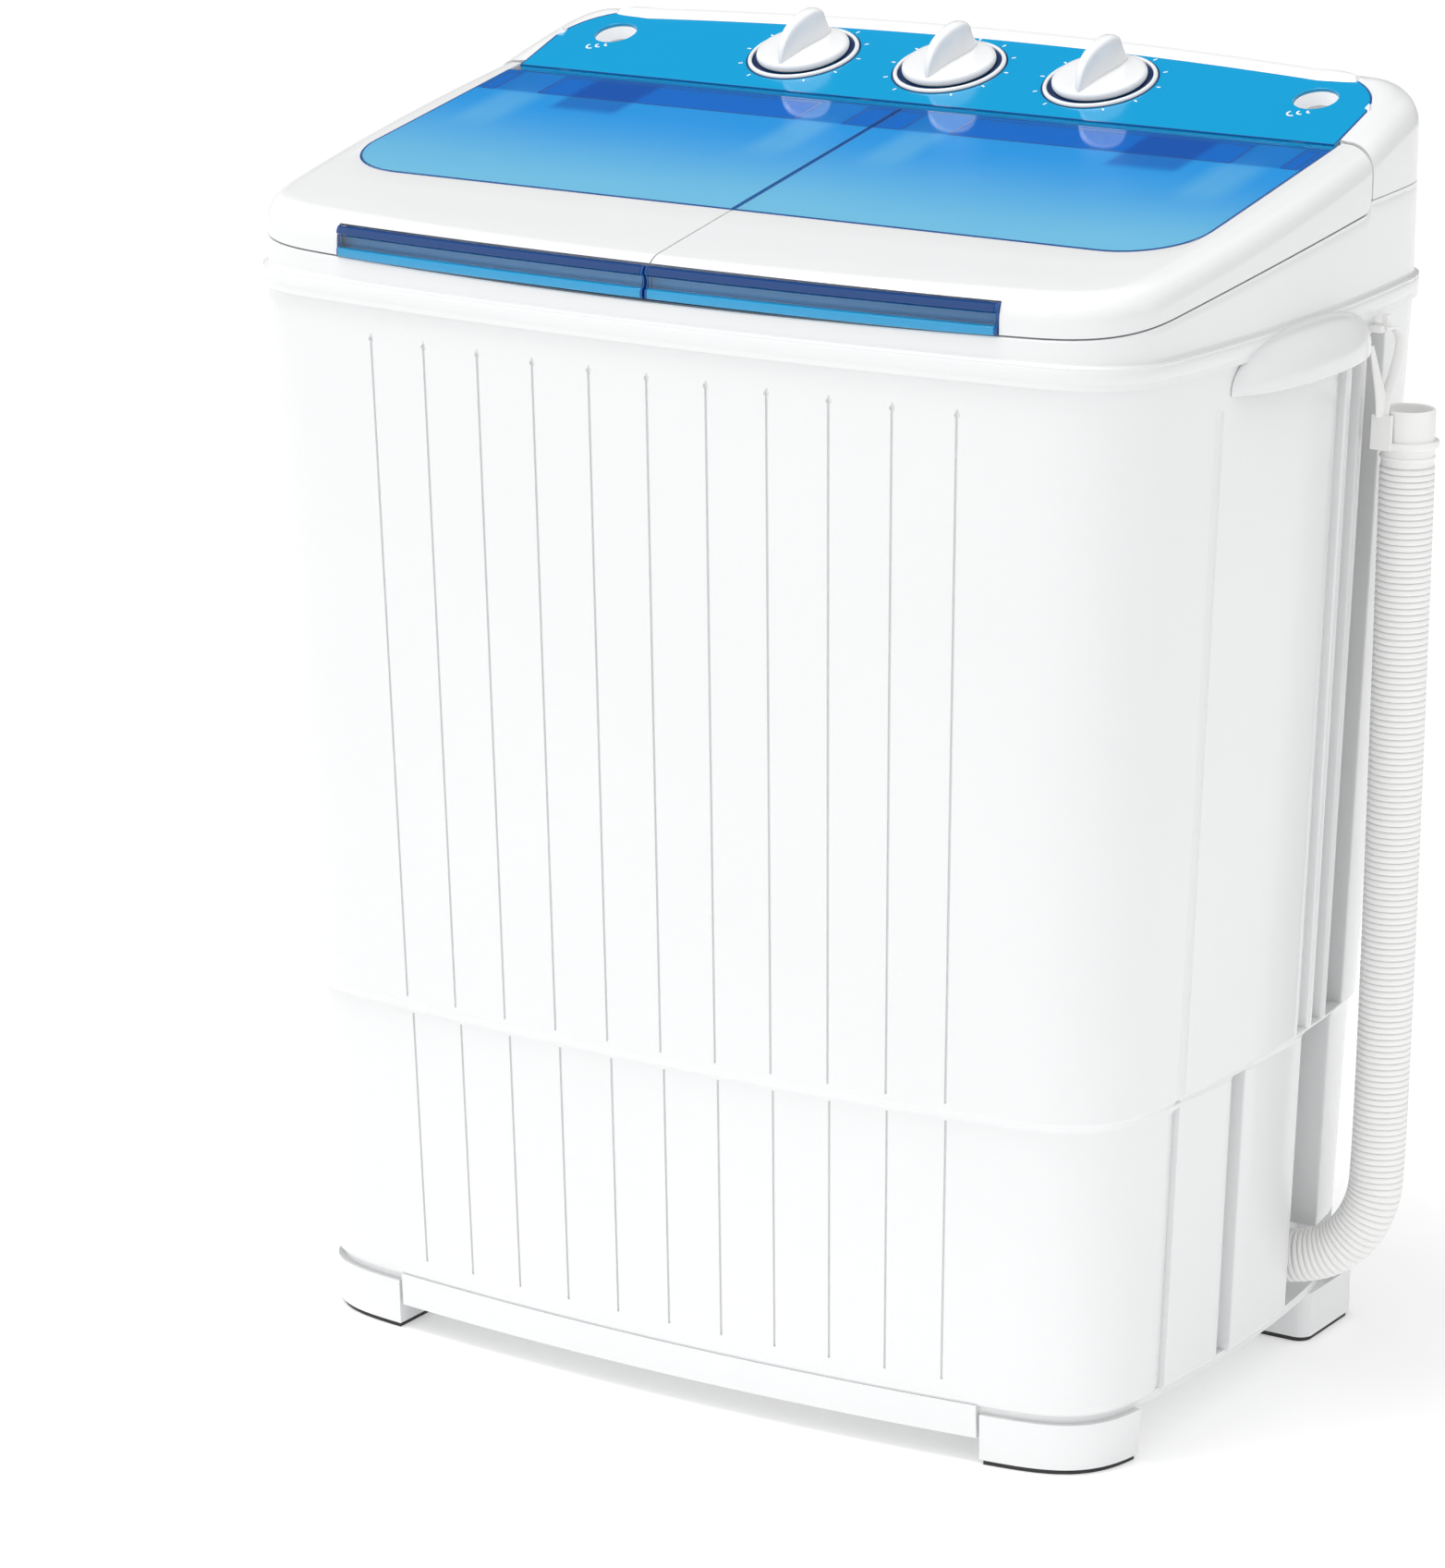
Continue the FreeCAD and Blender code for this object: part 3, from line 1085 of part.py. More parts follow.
if __name__ == "__main__":
    os.makedirs("parts", exist_ok=True)
    save("base", make_base())
    save("feet", make_feet())
    save("foot_pads", make_foot_pads())
    save("cabinet", make_cabinet())
    save("deck", make_deck())
    save("hinge_pins", make_hinge_pins())
    save("console", make_console())
    save("control_panel", make_control_panel())
    save("inlet_funnels", make_inlet_funnels())
    save("knob_bezels", make_knob_bezels())
    for label, place in zip(("wash_timer", "selector", "spin_timer"), knob_places()):
        save("knob_" + label, make_knob(place))
        save("shaft_" + label, make_knob_shaft(place))
    timers = [make_switch_box(-KNOB_PITCH, 26, 22, 24), make_switch_box(KNOB_PITCH, 24, 22, 24)]
    save("clockwork_timers", timers)
    save("selector_switch", make_switch_box(0, 18, 18, 18))
    for label, side in (("left", -1), ("right", 1)):
        save("lid_frame_" + label, make_lid_frame(side))
        save("lid_window_" + label, make_lid_window(side))
        save("lid_handle_" + label, make_lid_handle(side))
    save("wash_tub", make_wash_tub())
    save("spin_tub", make_spin_tub())
    save("spin_basket", make_spin_basket())
    save("balance_ring", make_balance_ring())
    save("spin_cover", make_spin_cover())
    save("lint_filter", make_lint_filter())
    save("pulsator", make_pulsator())
    save("pulsator_shaft", make_pulsator_shaft())
    save("wash_seal", make_wash_seal())
    save("bearing_housing", make_bearing_housing())
    save("big_pulley", make_pulley(TUB_Y, BIG_PULLEY_R, BIG_PULLEY_R + 4, 6))
    save("small_pulley", make_pulley(WASH_MOTOR_Y, SMALL_PULLEY_R, SMALL_PULLEY_R + 4, 5))
    save("drive_belt", make_belt())
    save("wash_motor", make_motor(WASH_X, WASH_MOTOR_Y, 138, 222, 56, 5))
    save("wash_motor_shaft", cylinder(WASH_X, WASH_MOTOR_Y, PULLEY_Z - 9, 218, 5))
    save("wash_motor_bracket", make_wash_motor_bracket())
    save("spin_motor", make_motor(SPIN_X, TUB_Y, SPIN_MOTOR_BOTTOM, SPIN_MOTOR_TOP, 58, 6))
    save("spin_shaft", make_spin_shaft())
    save("brake_drum", make_brake_drum())
    save("spin_motor_mount", make_spin_mount())
    save("suspension_springs", make_suspension_springs())
    save("bellows_seal", make_bellows())
    save("brake_lever", make_brake_lever())
    save("brake_pivot", make_brake_pivot())
    save("drain_valve", make_drain_valve())
    save("valve_plug", make_valve_plug())
    save("drain_pipe", make_drain_pipe())
    save("drain_hose", make_drain_hose())
    save("hose_cuff", make_hose_cuff())
    save("hose_hanger", make_hose_hanger())
    save("back_cover", make_back_cover())
    save("back_screws", make_back_screws())
    save("cord_gland", make_cord_gland())
    save("side_grips", [make_grip(), mirror_x(make_grip())])
    save("capacitors", make_capacitors())
    save("water_spouts", make_water_spouts())
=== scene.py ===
import bpy
import math
from mathutils import Matrix, Vector


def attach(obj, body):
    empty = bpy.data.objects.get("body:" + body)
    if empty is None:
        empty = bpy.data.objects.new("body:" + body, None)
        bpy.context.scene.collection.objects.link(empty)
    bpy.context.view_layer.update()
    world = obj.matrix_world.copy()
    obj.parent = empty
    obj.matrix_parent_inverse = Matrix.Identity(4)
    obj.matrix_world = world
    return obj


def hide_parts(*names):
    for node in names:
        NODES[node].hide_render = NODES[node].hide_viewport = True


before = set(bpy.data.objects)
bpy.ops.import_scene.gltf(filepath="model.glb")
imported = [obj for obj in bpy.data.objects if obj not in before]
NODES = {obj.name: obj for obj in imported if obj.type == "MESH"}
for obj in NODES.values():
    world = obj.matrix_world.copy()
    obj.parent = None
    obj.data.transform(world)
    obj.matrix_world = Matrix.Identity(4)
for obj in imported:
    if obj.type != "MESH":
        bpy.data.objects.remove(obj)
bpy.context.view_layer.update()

# Everything below is drawn in millimetres, in the part's own frame, and scaled once when its mesh is made.
MM = 0.001

# ---------------------------------------------------------------- driving dimensions, as in the part
HALF_WIDTH, HALF_DEPTH, CORNER = 285.0, 197.0, 63.0
FRONT_BOW, SIDE_BOW = 12.4, 7.0
FRONT_DRAFT = math.tan(math.radians(2.31))
SIDE_DRAFT = math.tan(math.radians(1.68))
CABINET_BOTTOM, STEP_LOW, STEP_HIGH, CABINET_TOP = 34.0, 196.0, 203.0, 598.5
STEP_INSET = 3.0
SEAM = ((-204.0, 619.5), (-60.0, 641.0), (80.0, 654.8))

LID_REAR_Y, LID_REAR_Z = 73.3, 689.5
LID_SLOPE = math.radians(9.9)
PANEL_SLOPE = math.radians(18.6)
LID_SKIN = 3.0
LID_GAP = 1.0
EDGE_ROUND = 15.0
SKIRT_END_Y = 79.0
SKIRT_CORNER = 8.0
WINDOW_HALF, WINDOW_FRONT_Y, WINDOW_CORNER = 264.0, -112.0, 44.0
HINGE_DEPTH = 8.0
HINGE_Y = LID_REAR_Y - HINGE_DEPTH
HINGE_EARS = (34.0, 236.0)
HANDLE_END_X, HANDLE_LOW, HANDLE_TOP, HANDLE_OUTSET = 204.7, 622.6, 640.0, 2.4

CONSOLE_BOTTOM = 661.6
CONSOLE_START_Y = 80.6
PANEL_HALF, PANEL_SIDE_END_Y = 262.0, 112.0
PANEL_FRONT_Y = 74.6
KNOB_Y = 118.0
KNOB_XS = (-96.0, 0.0, 96.0)
INLETS = ((-226.5, 122.0), (226.5, 122.0))
INLET_R = 12.5
SHAFT_HOLE_R = 6.0

HOSE_R = 15.0
HOSE_ROUTE = [
    (238.5, 79.5, 57.0),
    (271.0, 84.0, 58.0),
    (297.0, 90.0, 84.0),
    (303.0, 92.0, 124.0),
    (303.0, 92.0, 522.0),
]
CUFF_TOP = 549.0


# ---------------------------------------------------------------- materials
# Lid colours are painted light and shade of what shows through the lids: pale where the lit white interior
# shows, a deeper band at the back partly from the blue walls below and partly painted shade of the dark
# cavity, and WINDOW_SHADE for the painted shadow of a block.
REAR_BAND = (30.0, 34.0)    # where the clear lids turn to a deeper blue
WINDOW_PALE, WINDOW_MIDDLE, WINDOW_DEEP = (0.22, 0.66, 0.94), (0.02, 0.4, 0.94), (0.0, 0.24, 0.88)
WINDOW_SHADE = (0.0, 0.07, 0.5)
CLEAR_IOR = 1.42


def new_material(name):
    material = bpy.data.materials.new(name)
    material.use_nodes = True
    tree = material.node_tree
    return material, tree, tree.nodes["Principled BSDF"]


def add_noise(tree, scale, detail=3.0):
    coords = tree.nodes.new("ShaderNodeTexCoord")
    noise = tree.nodes.new("ShaderNodeTexNoise")
    noise.inputs["Scale"].default_value = scale
    noise.inputs["Detail"].default_value = detail
    tree.links.new(coords.outputs["Object"], noise.inputs["Vector"])
    return noise


def map_range(tree, source, start, stop, low, high, interpolation="LINEAR"):
    """Number that runs from low to high as the source goes from start to stop."""
    node = tree.nodes.new("ShaderNodeMapRange")
    node.interpolation_type = interpolation
    node.inputs["From Min"].default_value = start
    node.inputs["From Max"].default_value = stop
    node.inputs["To Min"].default_value = low
    node.inputs["To Max"].default_value = high
    tree.links.new(source, node.inputs["Value"])
    return node.outputs["Result"]


def length_ramp(tree, source, start, stop, low, high):
    """Soft ramp from low to high as a length on the object goes from start to stop, in millimetres."""
    return map_range(tree, source, start * MM, stop * MM, low, high, "SMOOTHSTEP")


def combine(tree, operation, first, second):
    """One Math node; its inputs are sockets or numbers."""
    node = tree.nodes.new("ShaderNodeMath")
    node.operation = operation
    for socket, value in zip(node.inputs, (first, second)):
        if isinstance(value, (int, float)):
            socket.default_value = value
        else:
            tree.links.new(value, socket)
    return node.outputs["Value"]


def multiply(tree, first, second):
    return combine(tree, "MULTIPLY", first, second)


def blend(tree, factor, first, second):
    """Mix of two colours, each a socket or three numbers."""
    node = tree.nodes.new("ShaderNodeMix")
    node.data_type = "RGBA"
    tree.links.new(factor, node.inputs["Factor"])
    for socket, value in ((node.inputs["A"], first), (node.inputs["B"], second)):
        if isinstance(value, tuple):
            socket.default_value = (*value, 1)
        else:
            tree.links.new(value, socket)
    return node.outputs["Result"]


def vary(tree, shader, drift, colours, gloss, roughness):
    """Faint drift between two colours and uneven gloss between two roughnesses, each from its own noise."""
    tree.links.new(blend(tree, drift.outputs["Fac"], *colours), shader.inputs["Base Color"])
    tree.links.new(map_range(tree, gloss.outputs["Fac"], 0.3, 0.7, *roughness), shader.inputs["Roughness"])


def add_bump(tree, shader, noise, strength, distance):
    bump = tree.nodes.new("ShaderNodeBump")
    bump.inputs["Strength"].default_value = strength
    bump.inputs["Distance"].default_value = distance
    tree.links.new(noise.outputs["Fac"], bump.inputs["Height"])
    tree.links.new(bump.outputs["Normal"], shader.inputs["Normal"])


def plastic(name, colour, roughness, tint=0.02, grain=900.0, bump=0.05, coat=0.0, metallic=0.0):
    """Moulded plastic or painted metal: faint colour drift, uneven gloss and a fine surface grain."""
    material, tree, shader = new_material(name)
    darker = tuple(c * (1 - tint) for c in colour)
    lighter = tuple(min(1.0, c * (1 + tint)) for c in colour)
    vary(tree, shader, add_noise(tree, 6.0), (darker, lighter),
         add_noise(tree, 14.0, 4.0), (roughness * 0.85, roughness * 1.15))
    add_bump(tree, shader, add_noise(tree, grain), bump, 0.0002)
    shader.inputs["Coat Weight"].default_value = coat
    shader.inputs["Coat Roughness"].default_value = 0.08
    shader.inputs["Metallic"].default_value = metallic
    return material


def clear_blue(name, colour, roughness, clear=1.0):
    """Tinted clear plastic; the part that is not clear looks milky."""
    material, tree, shader = new_material(name)
    darker = tuple(c * 0.95 for c in colour)
    vary(tree, shader, add_noise(tree, 5.0), (tuple(colour), darker),
         add_noise(tree, 20.0), (roughness * 0.9, roughness * 1.1))
    shader.inputs["Transmission Weight"].default_value = clear
    shader.inputs["IOR"].default_value = CLEAR_IOR
    shader.inputs["Coat Weight"].default_value = 0.4
    shader.inputs["Coat Roughness"].default_value = 0.04
    return material


def window_material():
    """Lid plate: pale at the front, bluer towards the back, with a deep-blue band over the hinges.

    Soft painted light and shade stand for what shows through it: the lit interior at the front, painted lit
    spots at the hinge ears, a painted lit streak beside each and a painted shadow of a block."""
    material, tree, shader = new_material("window_blue")
    split = tree.nodes.new("ShaderNodeSeparateXYZ")
    tree.links.new(tree.nodes.new("ShaderNodeTexCoord").outputs["Object"], split.inputs["Vector"])
    depth = split.outputs["Y"]
    across = combine(tree, "ABSOLUTE", split.outputs["X"], 0.0)

    def near(source, centre, half, blur):
        """One within half of the centre and nothing beyond it, with a soft edge, in millimetres."""
        distance = combine(tree, "ABSOLUTE", combine(tree, "SUBTRACT", source, centre * MM), 0.0)
        return length_ramp(tree, distance, half, half + blur, 1.0, 0.0)

    def near_either(centres, half, blurs):
        first, second = [near(across, centre, half, blur) for centre, blur in zip(centres, blurs)]
        return combine(tree, "MAXIMUM", first, second)

    # Painted light: paler at the front, where the lit white interior shows through, and bluer towards the
    # back.
    cloud = multiply(tree, add_noise(tree, 9.0, 2.0).outputs["Fac"], 0.24)
    fade = combine(tree, "ADD", cloud, length_ramp(tree, depth, WINDOW_FRONT_Y, REAR_BAND[0], -0.14, 0.9))
    colour = blend(tree, fade, WINDOW_PALE, WINDOW_MIDDLE)
    # Painted light: a paler streak beside each hinge ear, where light comes through.
    lit_streaks = near_either((HINGE_EARS[0] + 2, HINGE_EARS[1] - 6), 5, (14, 16))
    lit_streaks = multiply(tree, lit_streaks, near(depth, 6, 12, 34))
    colour = blend(tree, multiply(tree, lit_streaks, 0.4), colour, WINDOW_PALE)
    # Painted light: the deep band is weaker over the lit hinge ears; the band itself is partly painted shade
    # of the dark cavity under it.
    ears = near_either(HINGE_EARS, 13, (1.5, 1.5))
    between_ears = combine(tree, "SUBTRACT", 1.0, multiply(tree, ears, 0.5))
    band = multiply(tree, length_ramp(tree, depth, *REAR_BAND, 0.0, 1.0), between_ears)
    colour = blend(tree, band, colour, WINDOW_DEEP)
    # Painted shade: the shadow of a block under the plate.
    block_shadow = multiply(tree, near(across, 178, 18, 7), near(depth, 38, 20, 12))
    colour = blend(tree, multiply(tree, block_shadow, 0.55), colour, WINDOW_SHADE)
    tree.links.new(colour, shader.inputs["Base Color"])
    tree.links.new(length_ramp(tree, depth, *REAR_BAND, 0.36, 0.5), shader.inputs["Transmission Weight"])
    tree.links.new(length_ramp(tree, depth, *REAR_BAND, 0.24, 0.06), shader.inputs["Roughness"])
    shader.inputs["IOR"].default_value = CLEAR_IOR
    shader.inputs["Coat Weight"].default_value = 0.15
    shader.inputs["Coat Roughness"].default_value = 0.04
    return material


WHITE = plastic("white_gloss", (0.795, 0.8, 0.805), 0.22, coat=0.35)
TUB_WHITE = plastic("tub_white", (0.8, 0.81, 0.82), 0.4)
HOSE_WHITE = plastic("hose_white", (0.89, 0.89, 0.88), 0.42, tint=0.03)
PANEL_BLUE = plastic("panel_blue", (0.0, 0.3, 0.58), 0.14, coat=0.15, bump=0.01)
# Painted shade: the dark of the gaps round the knob rings.
GAP_SHADE_NAVY = plastic("gap_shade_navy", (0.0, 0.02, 0.09), 0.35)
PRINT_WHITE = plastic("print_white", (0.9, 0.9, 0.9), 0.45)
# Painted shade: the dark of the seam's gap under the lids.
SEAM_SHADE_GREY = plastic("seam_shade_grey", (0.16, 0.17, 0.18), 0.7)
GREY = plastic("grey_plastic_fine", (0.42, 0.43, 0.45), 0.5)
# Water spouts in dark navy: partly their own blue plastic, partly painted shade that deepens the lids' rear
# band.
SPOUT_NAVY_AND_SHADE = plastic("spout_navy_and_shade", (0.05, 0.1, 0.25), 0.5)
RUBBER = plastic("black_rubber", (0.03, 0.03, 0.032), 0.7, grain=500.0, bump=0.2)
STEEL = plastic("plated_steel", (0.62, 0.63, 0.65), 0.3, metallic=1.0, bump=0.03)
MOTOR = plastic("motor_grey", (0.12, 0.13, 0.15), 0.45, bump=0.15)
CASE = plastic("capacitor_white", (0.7, 0.7, 0.66), 0.5)
WINDOW_BLUE = window_material()
DEEP_BLUE = clear_blue("deep_blue", (0.0, 0.1, 0.4), 0.12, 0.3)
# A darker and a brighter copy of the clear blue: painted shade on the pull's top bevel, painted light on its
# lower lip and on the panel's front lip.
BEVEL_SHADE_BLUE = clear_blue("bevel_shade_blue", (0.0, 0.05, 0.22), 0.06, 0.2)
HANDLE_BLUE = clear_blue("handle_blue", (0.3, 0.62, 0.93), 0.05)
LIP_LIT_BLUE = clear_blue("lip_lit_blue", (0.03, 0.55, 0.98), 0.08, 0.5)


# ---------------------------------------------------------------- mesh helpers
SHARP_ANGLE = 32.0          # degrees between faces from which an edge is shaded sharp
SHELL = 2.6                 # wall of the thick white mouldings


def finish_mesh(obj, material, body, replaced=(), sharp=SHARP_ANGLE):
    """Material, smooth shading, and what the piece rides on, is made of and stands in for."""
    obj.data.materials.clear()
    obj.data.materials.append(material)
    for polygon in obj.data.polygons:
        polygon.use_smooth = True
    obj.data.set_sharp_from_angle(angle=math.radians(sharp))
    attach(obj, body)
    if replaced:
        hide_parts(*replaced)
    return obj


def white_part(obj, replaced=(), sharp=SHARP_ANGLE):
    """White moulding that stays with the machine."""
    finish_mesh(obj, WHITE, "machine", replaced, sharp)


def hose_part(obj, replaced, sharp):
    return finish_mesh(obj, HOSE_WHITE, "machine", replaced, sharp)


def lid_part(obj, material, label, replaced=(), sharp=SHARP_ANGLE):
    """Clear blue piece of one lid."""
    finish_mesh(obj, material, "lid_" + label, replaced, sharp)


def add_object(name, data):
    obj = bpy.data.objects.new(name, data)
    bpy.context.scene.collection.objects.link(obj)
    return obj


class Builder:
    """Collects points and faces of one piece."""

    def __init__(self):
        self.points = []
        self.faces = []

    def grid(self, rows, wrap_columns=False, wrap_rows=False, flip=False, cap_rows=False, cap_columns=False):
        """Add rows of points and the faces between them; flip turns all of these faces over."""
        start, height, width = len(self.points), len(rows), len(rows[0])
        for row in rows:
            self.points.extend(row)
        faces = []
        for row in range(height if wrap_rows else height - 1):
            rise = ((row + 1) % height - row) * width
            for column in range(width if wrap_columns else width - 1):
                here = start + row * width + column
                right = start + row * width + (column + 1) % width
                faces.append([here, right, right + rise, here + rise])
        if cap_rows:
            last = start + (height - 1) * width
            faces.append(list(range(start, start + width))[::-1])
            faces.append(list(range(last, last + width)))
        if cap_columns:
            faces.append([start + row * width for row in range(height)])
            faces.append([start + row * width + width - 1 for row in range(height)][::-1])
        self.faces += [face[::-1] for face in faces] if flip else faces

    def lathe(self, profile, segments=48, place=None, closed=True):
        """Turn a profile of (radius, height) round +Z; a closed profile makes a ring."""
        rows = []
        for radius, height in profile:
            row = []
            for index in range(segments):
                angle = 2 * math.pi * index / segments
                point = Vector((radius * math.cos(angle), radius * math.sin(angle), height))
                row.append(tuple(place @ point) if place else tuple(point))
            rows.append(row)
        self.grid(rows, wrap_columns=True, wrap_rows=closed, cap_rows=not closed)

    def prism_x(self, section, x0, x1):
        """Closed section of (y, z) points, run along X; the section goes clockwise seen from +X."""
        rows = [[(x, y, z) for x in (x0, x1)] for y, z in section]
        self.grid(rows, wrap_rows=True, cap_columns=True)

    def make(self, name):
        """New mesh object from the points, which are in millimetres."""
        mesh = bpy.data.meshes.new(name)
        mesh.from_pydata([(x * MM, y * MM, z * MM) for x, y, z in self.points], [], self.faces)
        mesh.update()
        return add_object(name, mesh)


def grid_piece(name, rows, **how):
    """Mesh object from one grid of points."""
    builder = Builder()
    builder.grid(rows, **how)
    return builder.make(name)


def thicken(obj, thickness):
    """Give a surface its wall thickness inwards, kept in the mesh so that its new rims are shaded sharp."""
    modifier = obj.modifiers.new("thickness", "SOLIDIFY")
    modifier.thickness = thickness * MM
    modifier.offset = -1.0
    bpy.context.view_layer.update()
    solid = bpy.data.meshes.new_from_object(obj.evaluated_get(bpy.context.evaluated_depsgraph_get()))
    obj.modifiers.clear()
    obj.data = solid
    return obj


def soften(obj, width, segments, angle=35.0):
    modifier = obj.modifiers.new("soft_edges", "BEVEL")
    modifier.width = width * MM
    modifier.segments = segments
    modifier.limit_method = "ANGLE"
    modifier.angle_limit = math.radians(angle)
    modifier.harden_normals = False
    return obj


def curve_mesh(curve):
    """Mesh of a curve; the object that carries the curve meanwhile is removed again."""
    holder = add_object(curve.name, curve)
    bpy.context.view_layer.update()
    mesh = bpy.data.meshes.new_from_object(holder)
    bpy.data.objects.remove(holder)
    return mesh


def plate(name, outline, holes, thickness, place, round_edge):
    """Flat plate from a closed outline with holes, its top face on the local XY plane of place."""
    curve = bpy.data.curves.new(name + "_outline", "CURVE")
    curve.dimensions = "2D"
    curve.fill_mode = "BOTH"
    curve.extrude = thickness / 2 - round_edge
    curve.bevel_depth = round_edge
    curve.bevel_resolution = 2
    curve.offset = -round_edge
    for loop in [outline] + holes:
        spline = curve.splines.new("POLY")
        spline.points.add(len(loop) - 1)
        for point, (x, y) in zip(spline.points, loop):
            point.co = (x, y, 0, 1)
        spline.use_cyclic_u = True
    mesh = curve_mesh(curve)
    mesh.transform(Matrix.Scale(MM, 4) @ place @ Matrix.Translation((0, 0, -thickness / 2)))
    return add_object(name, mesh)


def rim(name, outline, width, place):
    """Thin band just inside a closed outline, a hair above the local XY plane of place."""
    count = len(outline)
    area = sum(a[0] * b[1] - b[0] * a[1] for a, b in zip(outline, outline[1:] + outline[:1]))
    turn = 1 if area > 0 else -1
    inner = []
    for index, (x, y) in enumerate(outline):
        before, after = outline[index - 1], outline[(index + 1) % count]
        first = Vector((x - before[0], y - before[1])).normalized()
        second = Vector((after[0] - x, after[1] - y)).normalized()
        normal = Vector((-first.y - second.y, first.x + second.x)) * turn
        step = normal.normalized() * width / max(0.5, normal.length / 2)
        inner.append((x + step.x, y + step.y))
    low, high = -0.35, 0.06
    loops = [(outline, low), (outline, high), (inner, high), (inner, low)]
    rows = [[tuple(place @ Vector((x, y, z))) for x, y in loop] for loop, z in loops]
    return grid_piece(name, rows, wrap_columns=True, wrap_rows=True, flip=turn > 0)


def lerp(a, b, t):
    return a + (b - a) * t


def spaced(a, b, count):
    return [lerp(a, b, i / (count - 1)) for i in range(count)]


def arc(cx, cy, radius, angles):
    return [(cx + radius * math.cos(angle), cy + radius * math.sin(angle)) for angle in angles]


def circle(cx, cy, radius, count=64):
    return arc(cx, cy, radius, [2 * math.pi * i / count for i in range(count)])


def clamp(value, low, high):
    return max(low, min(high, value))


def smooth(t):
    t = clamp(t, 0.0, 1.0)
    return t * t * (3 - 2 * t)


# ---------------------------------------------------------------- shared surfaces
def lid_z(y):
    return LID_REAR_Z + (y - LID_REAR_Y) * math.tan(LID_SLOPE)


def panel_z(y):
    return LID_REAR_Z + (y - LID_REAR_Y) * math.tan(PANEL_SLOPE)


HINGE_Z = lid_z(HINGE_Y) - HINGE_DEPTH / math.cos(LID_SLOPE)


def circle_through(a, b, c):
    """Centre and radius of the circle through three (u, v) points."""
    ax, ay, bx, by, cx, cy = *a, *b, *c
    d = 2 * (ax * (by - cy) + bx * (cy - ay) + cx * (ay - by))
    ux = ((ax**2 + ay**2) * (by - cy) + (bx**2 + by**2) * (cy - ay) + (cx**2 + cy**2) * (ay - by)) / d
    uy = ((ax**2 + ay**2) * (cx - bx) + (bx**2 + by**2) * (ax - cx) + (cx**2 + cy**2) * (bx - ax)) / d
    return ux, uy, math.hypot(ax - ux, ay - uy)


SEAM_CIRCLE = circle_through(*SEAM)


def seam_z(y):
    """Height of the seam between the lids and the top frame, bulging upwards."""
    cy, cz, radius = SEAM_CIRCLE
    return cz + math.sqrt(radius * radius - (y - cy) ** 2)


def plane_place(slope):
    """Matrix that stands local +Z on the sloping plane through the rear line of the lids."""
    return Matrix.Translation((0, LID_REAR_Y, LID_REAR_Z)) @ Matrix.Rotation(slope, 4, "X")


def on_plane(slope, points):
    """Plan points in the sloping plane's own coordinates."""
    return [(x, (y - LID_REAR_Y) / math.cos(slope)) for x, y in points]


def panel_place(x, y):
    """Matrix that stands local +Z on the sloping panel at (x, y)."""
    return Matrix.Translation((x, y, panel_z(y))) @ Matrix.Rotation(PANEL_SLOPE, 4, "X")


def plan_point(column, half_width, half_depth, corner):
    """A column is (kind, value, side in x, side in y) and names one place round the plan."""
    kind, value, sx, sy = column
    flat_x = half_width - corner
    flat_y = half_depth - corner
    if kind == "front":
        return value * flat_x, sy * (half_depth - FRONT_BOW * value * value)
    if kind == "side":
        return sx * (half_width - SIDE_BOW * (value / flat_y) ** 2), value
    reach = 0.55 * corner
    front_slope = 2 * FRONT_BOW / flat_x
    side_slope = 2 * SIDE_BOW / flat_y
    start = Vector((flat_x, half_depth - FRONT_BOW))
    end = Vector((half_width - SIDE_BOW, flat_y))
    leave = start + Vector((1, -front_slope)).normalized() * reach
    arrive = end + Vector((-side_slope, 1)).normalized() * reach
    rest = 1 - value
    point = (start * rest ** 3 + leave * 3 * value * rest ** 2
             + arrive * 3 * value * value * rest + end * value ** 3)
    return sx * point.x, sy * point.y


def sizes_at(z, inset=0.0):
    """Half width, half depth and corner reach of the wall at a height, moved in by inset."""
    drop = max(0.0, CABINET_TOP - z)
    half_width = HALF_WIDTH - drop * SIDE_DRAFT - inset
    half_depth = HALF_DEPTH - drop * FRONT_DRAFT - inset
    return half_width, half_depth, CORNER - inset * 0.5


def wall_point(column, inset=0.0):
    """Plan point of a column on the wall at the cabinet's top edge."""
    return plan_point(column, *sizes_at(CABINET_TOP, inset))


def wall_row(columns, inset, height):
    """One point for each column on that wall; height gives z from y."""
    return [(x, y, height(y)) for x, y in [wall_point(column, inset) for column in columns]]


def outward(column):
    """Unit plan direction that points out of the wall at a column."""
    kind, value, sx, sy = column
    if kind == "front":
        slope = 2 * FRONT_BOW * value / (HALF_WIDTH - CORNER)
        return Vector((slope, sy, 0)).normalized()
    if kind == "side":
        slope = 2 * SIDE_BOW * value / (HALF_DEPTH - CORNER) ** 2
        return Vector((sx, slope, 0)).normalized()
    step = 0.01
    before = Vector(wall_point((kind, max(0.0, value - step), sx, sy)))
    along = Vector(wall_point((kind, min(1.0, value + step), sx, sy))) - before
    return Vector((abs(along.y) * sx, abs(along.x) * sy, 0)).normalized()


def front_columns(values, sy):
    return [("front", value, 0, sy) for value in values]


def side_columns(ys, sx):
    return [("side", y, sx, 0) for y in ys]


def corner_columns(count, sx, sy, falling=False):
    """Columns inside one corner, from the front or back wall to the side wall, or falling the other way."""
    values = [k / count for k in range(1, count)]
    return [("corner", value, sx, sy) for value in (values[::-1] if falling else values)]


def loop_columns(front_values, side_values):
    """Columns once round the whole plan, counter-clockwise seen from above."""
    return (front_columns(front_values, -1) + corner_columns(12, 1, -1)
            + side_columns(side_values, 1) + corner_columns(12, 1, 1, True)
            + front_columns(spaced(1, -1, 21), 1) + corner_columns(12, -1, 1)
            + side_columns(side_values[::-1], -1) + corner_columns(12, -1, -1, True))


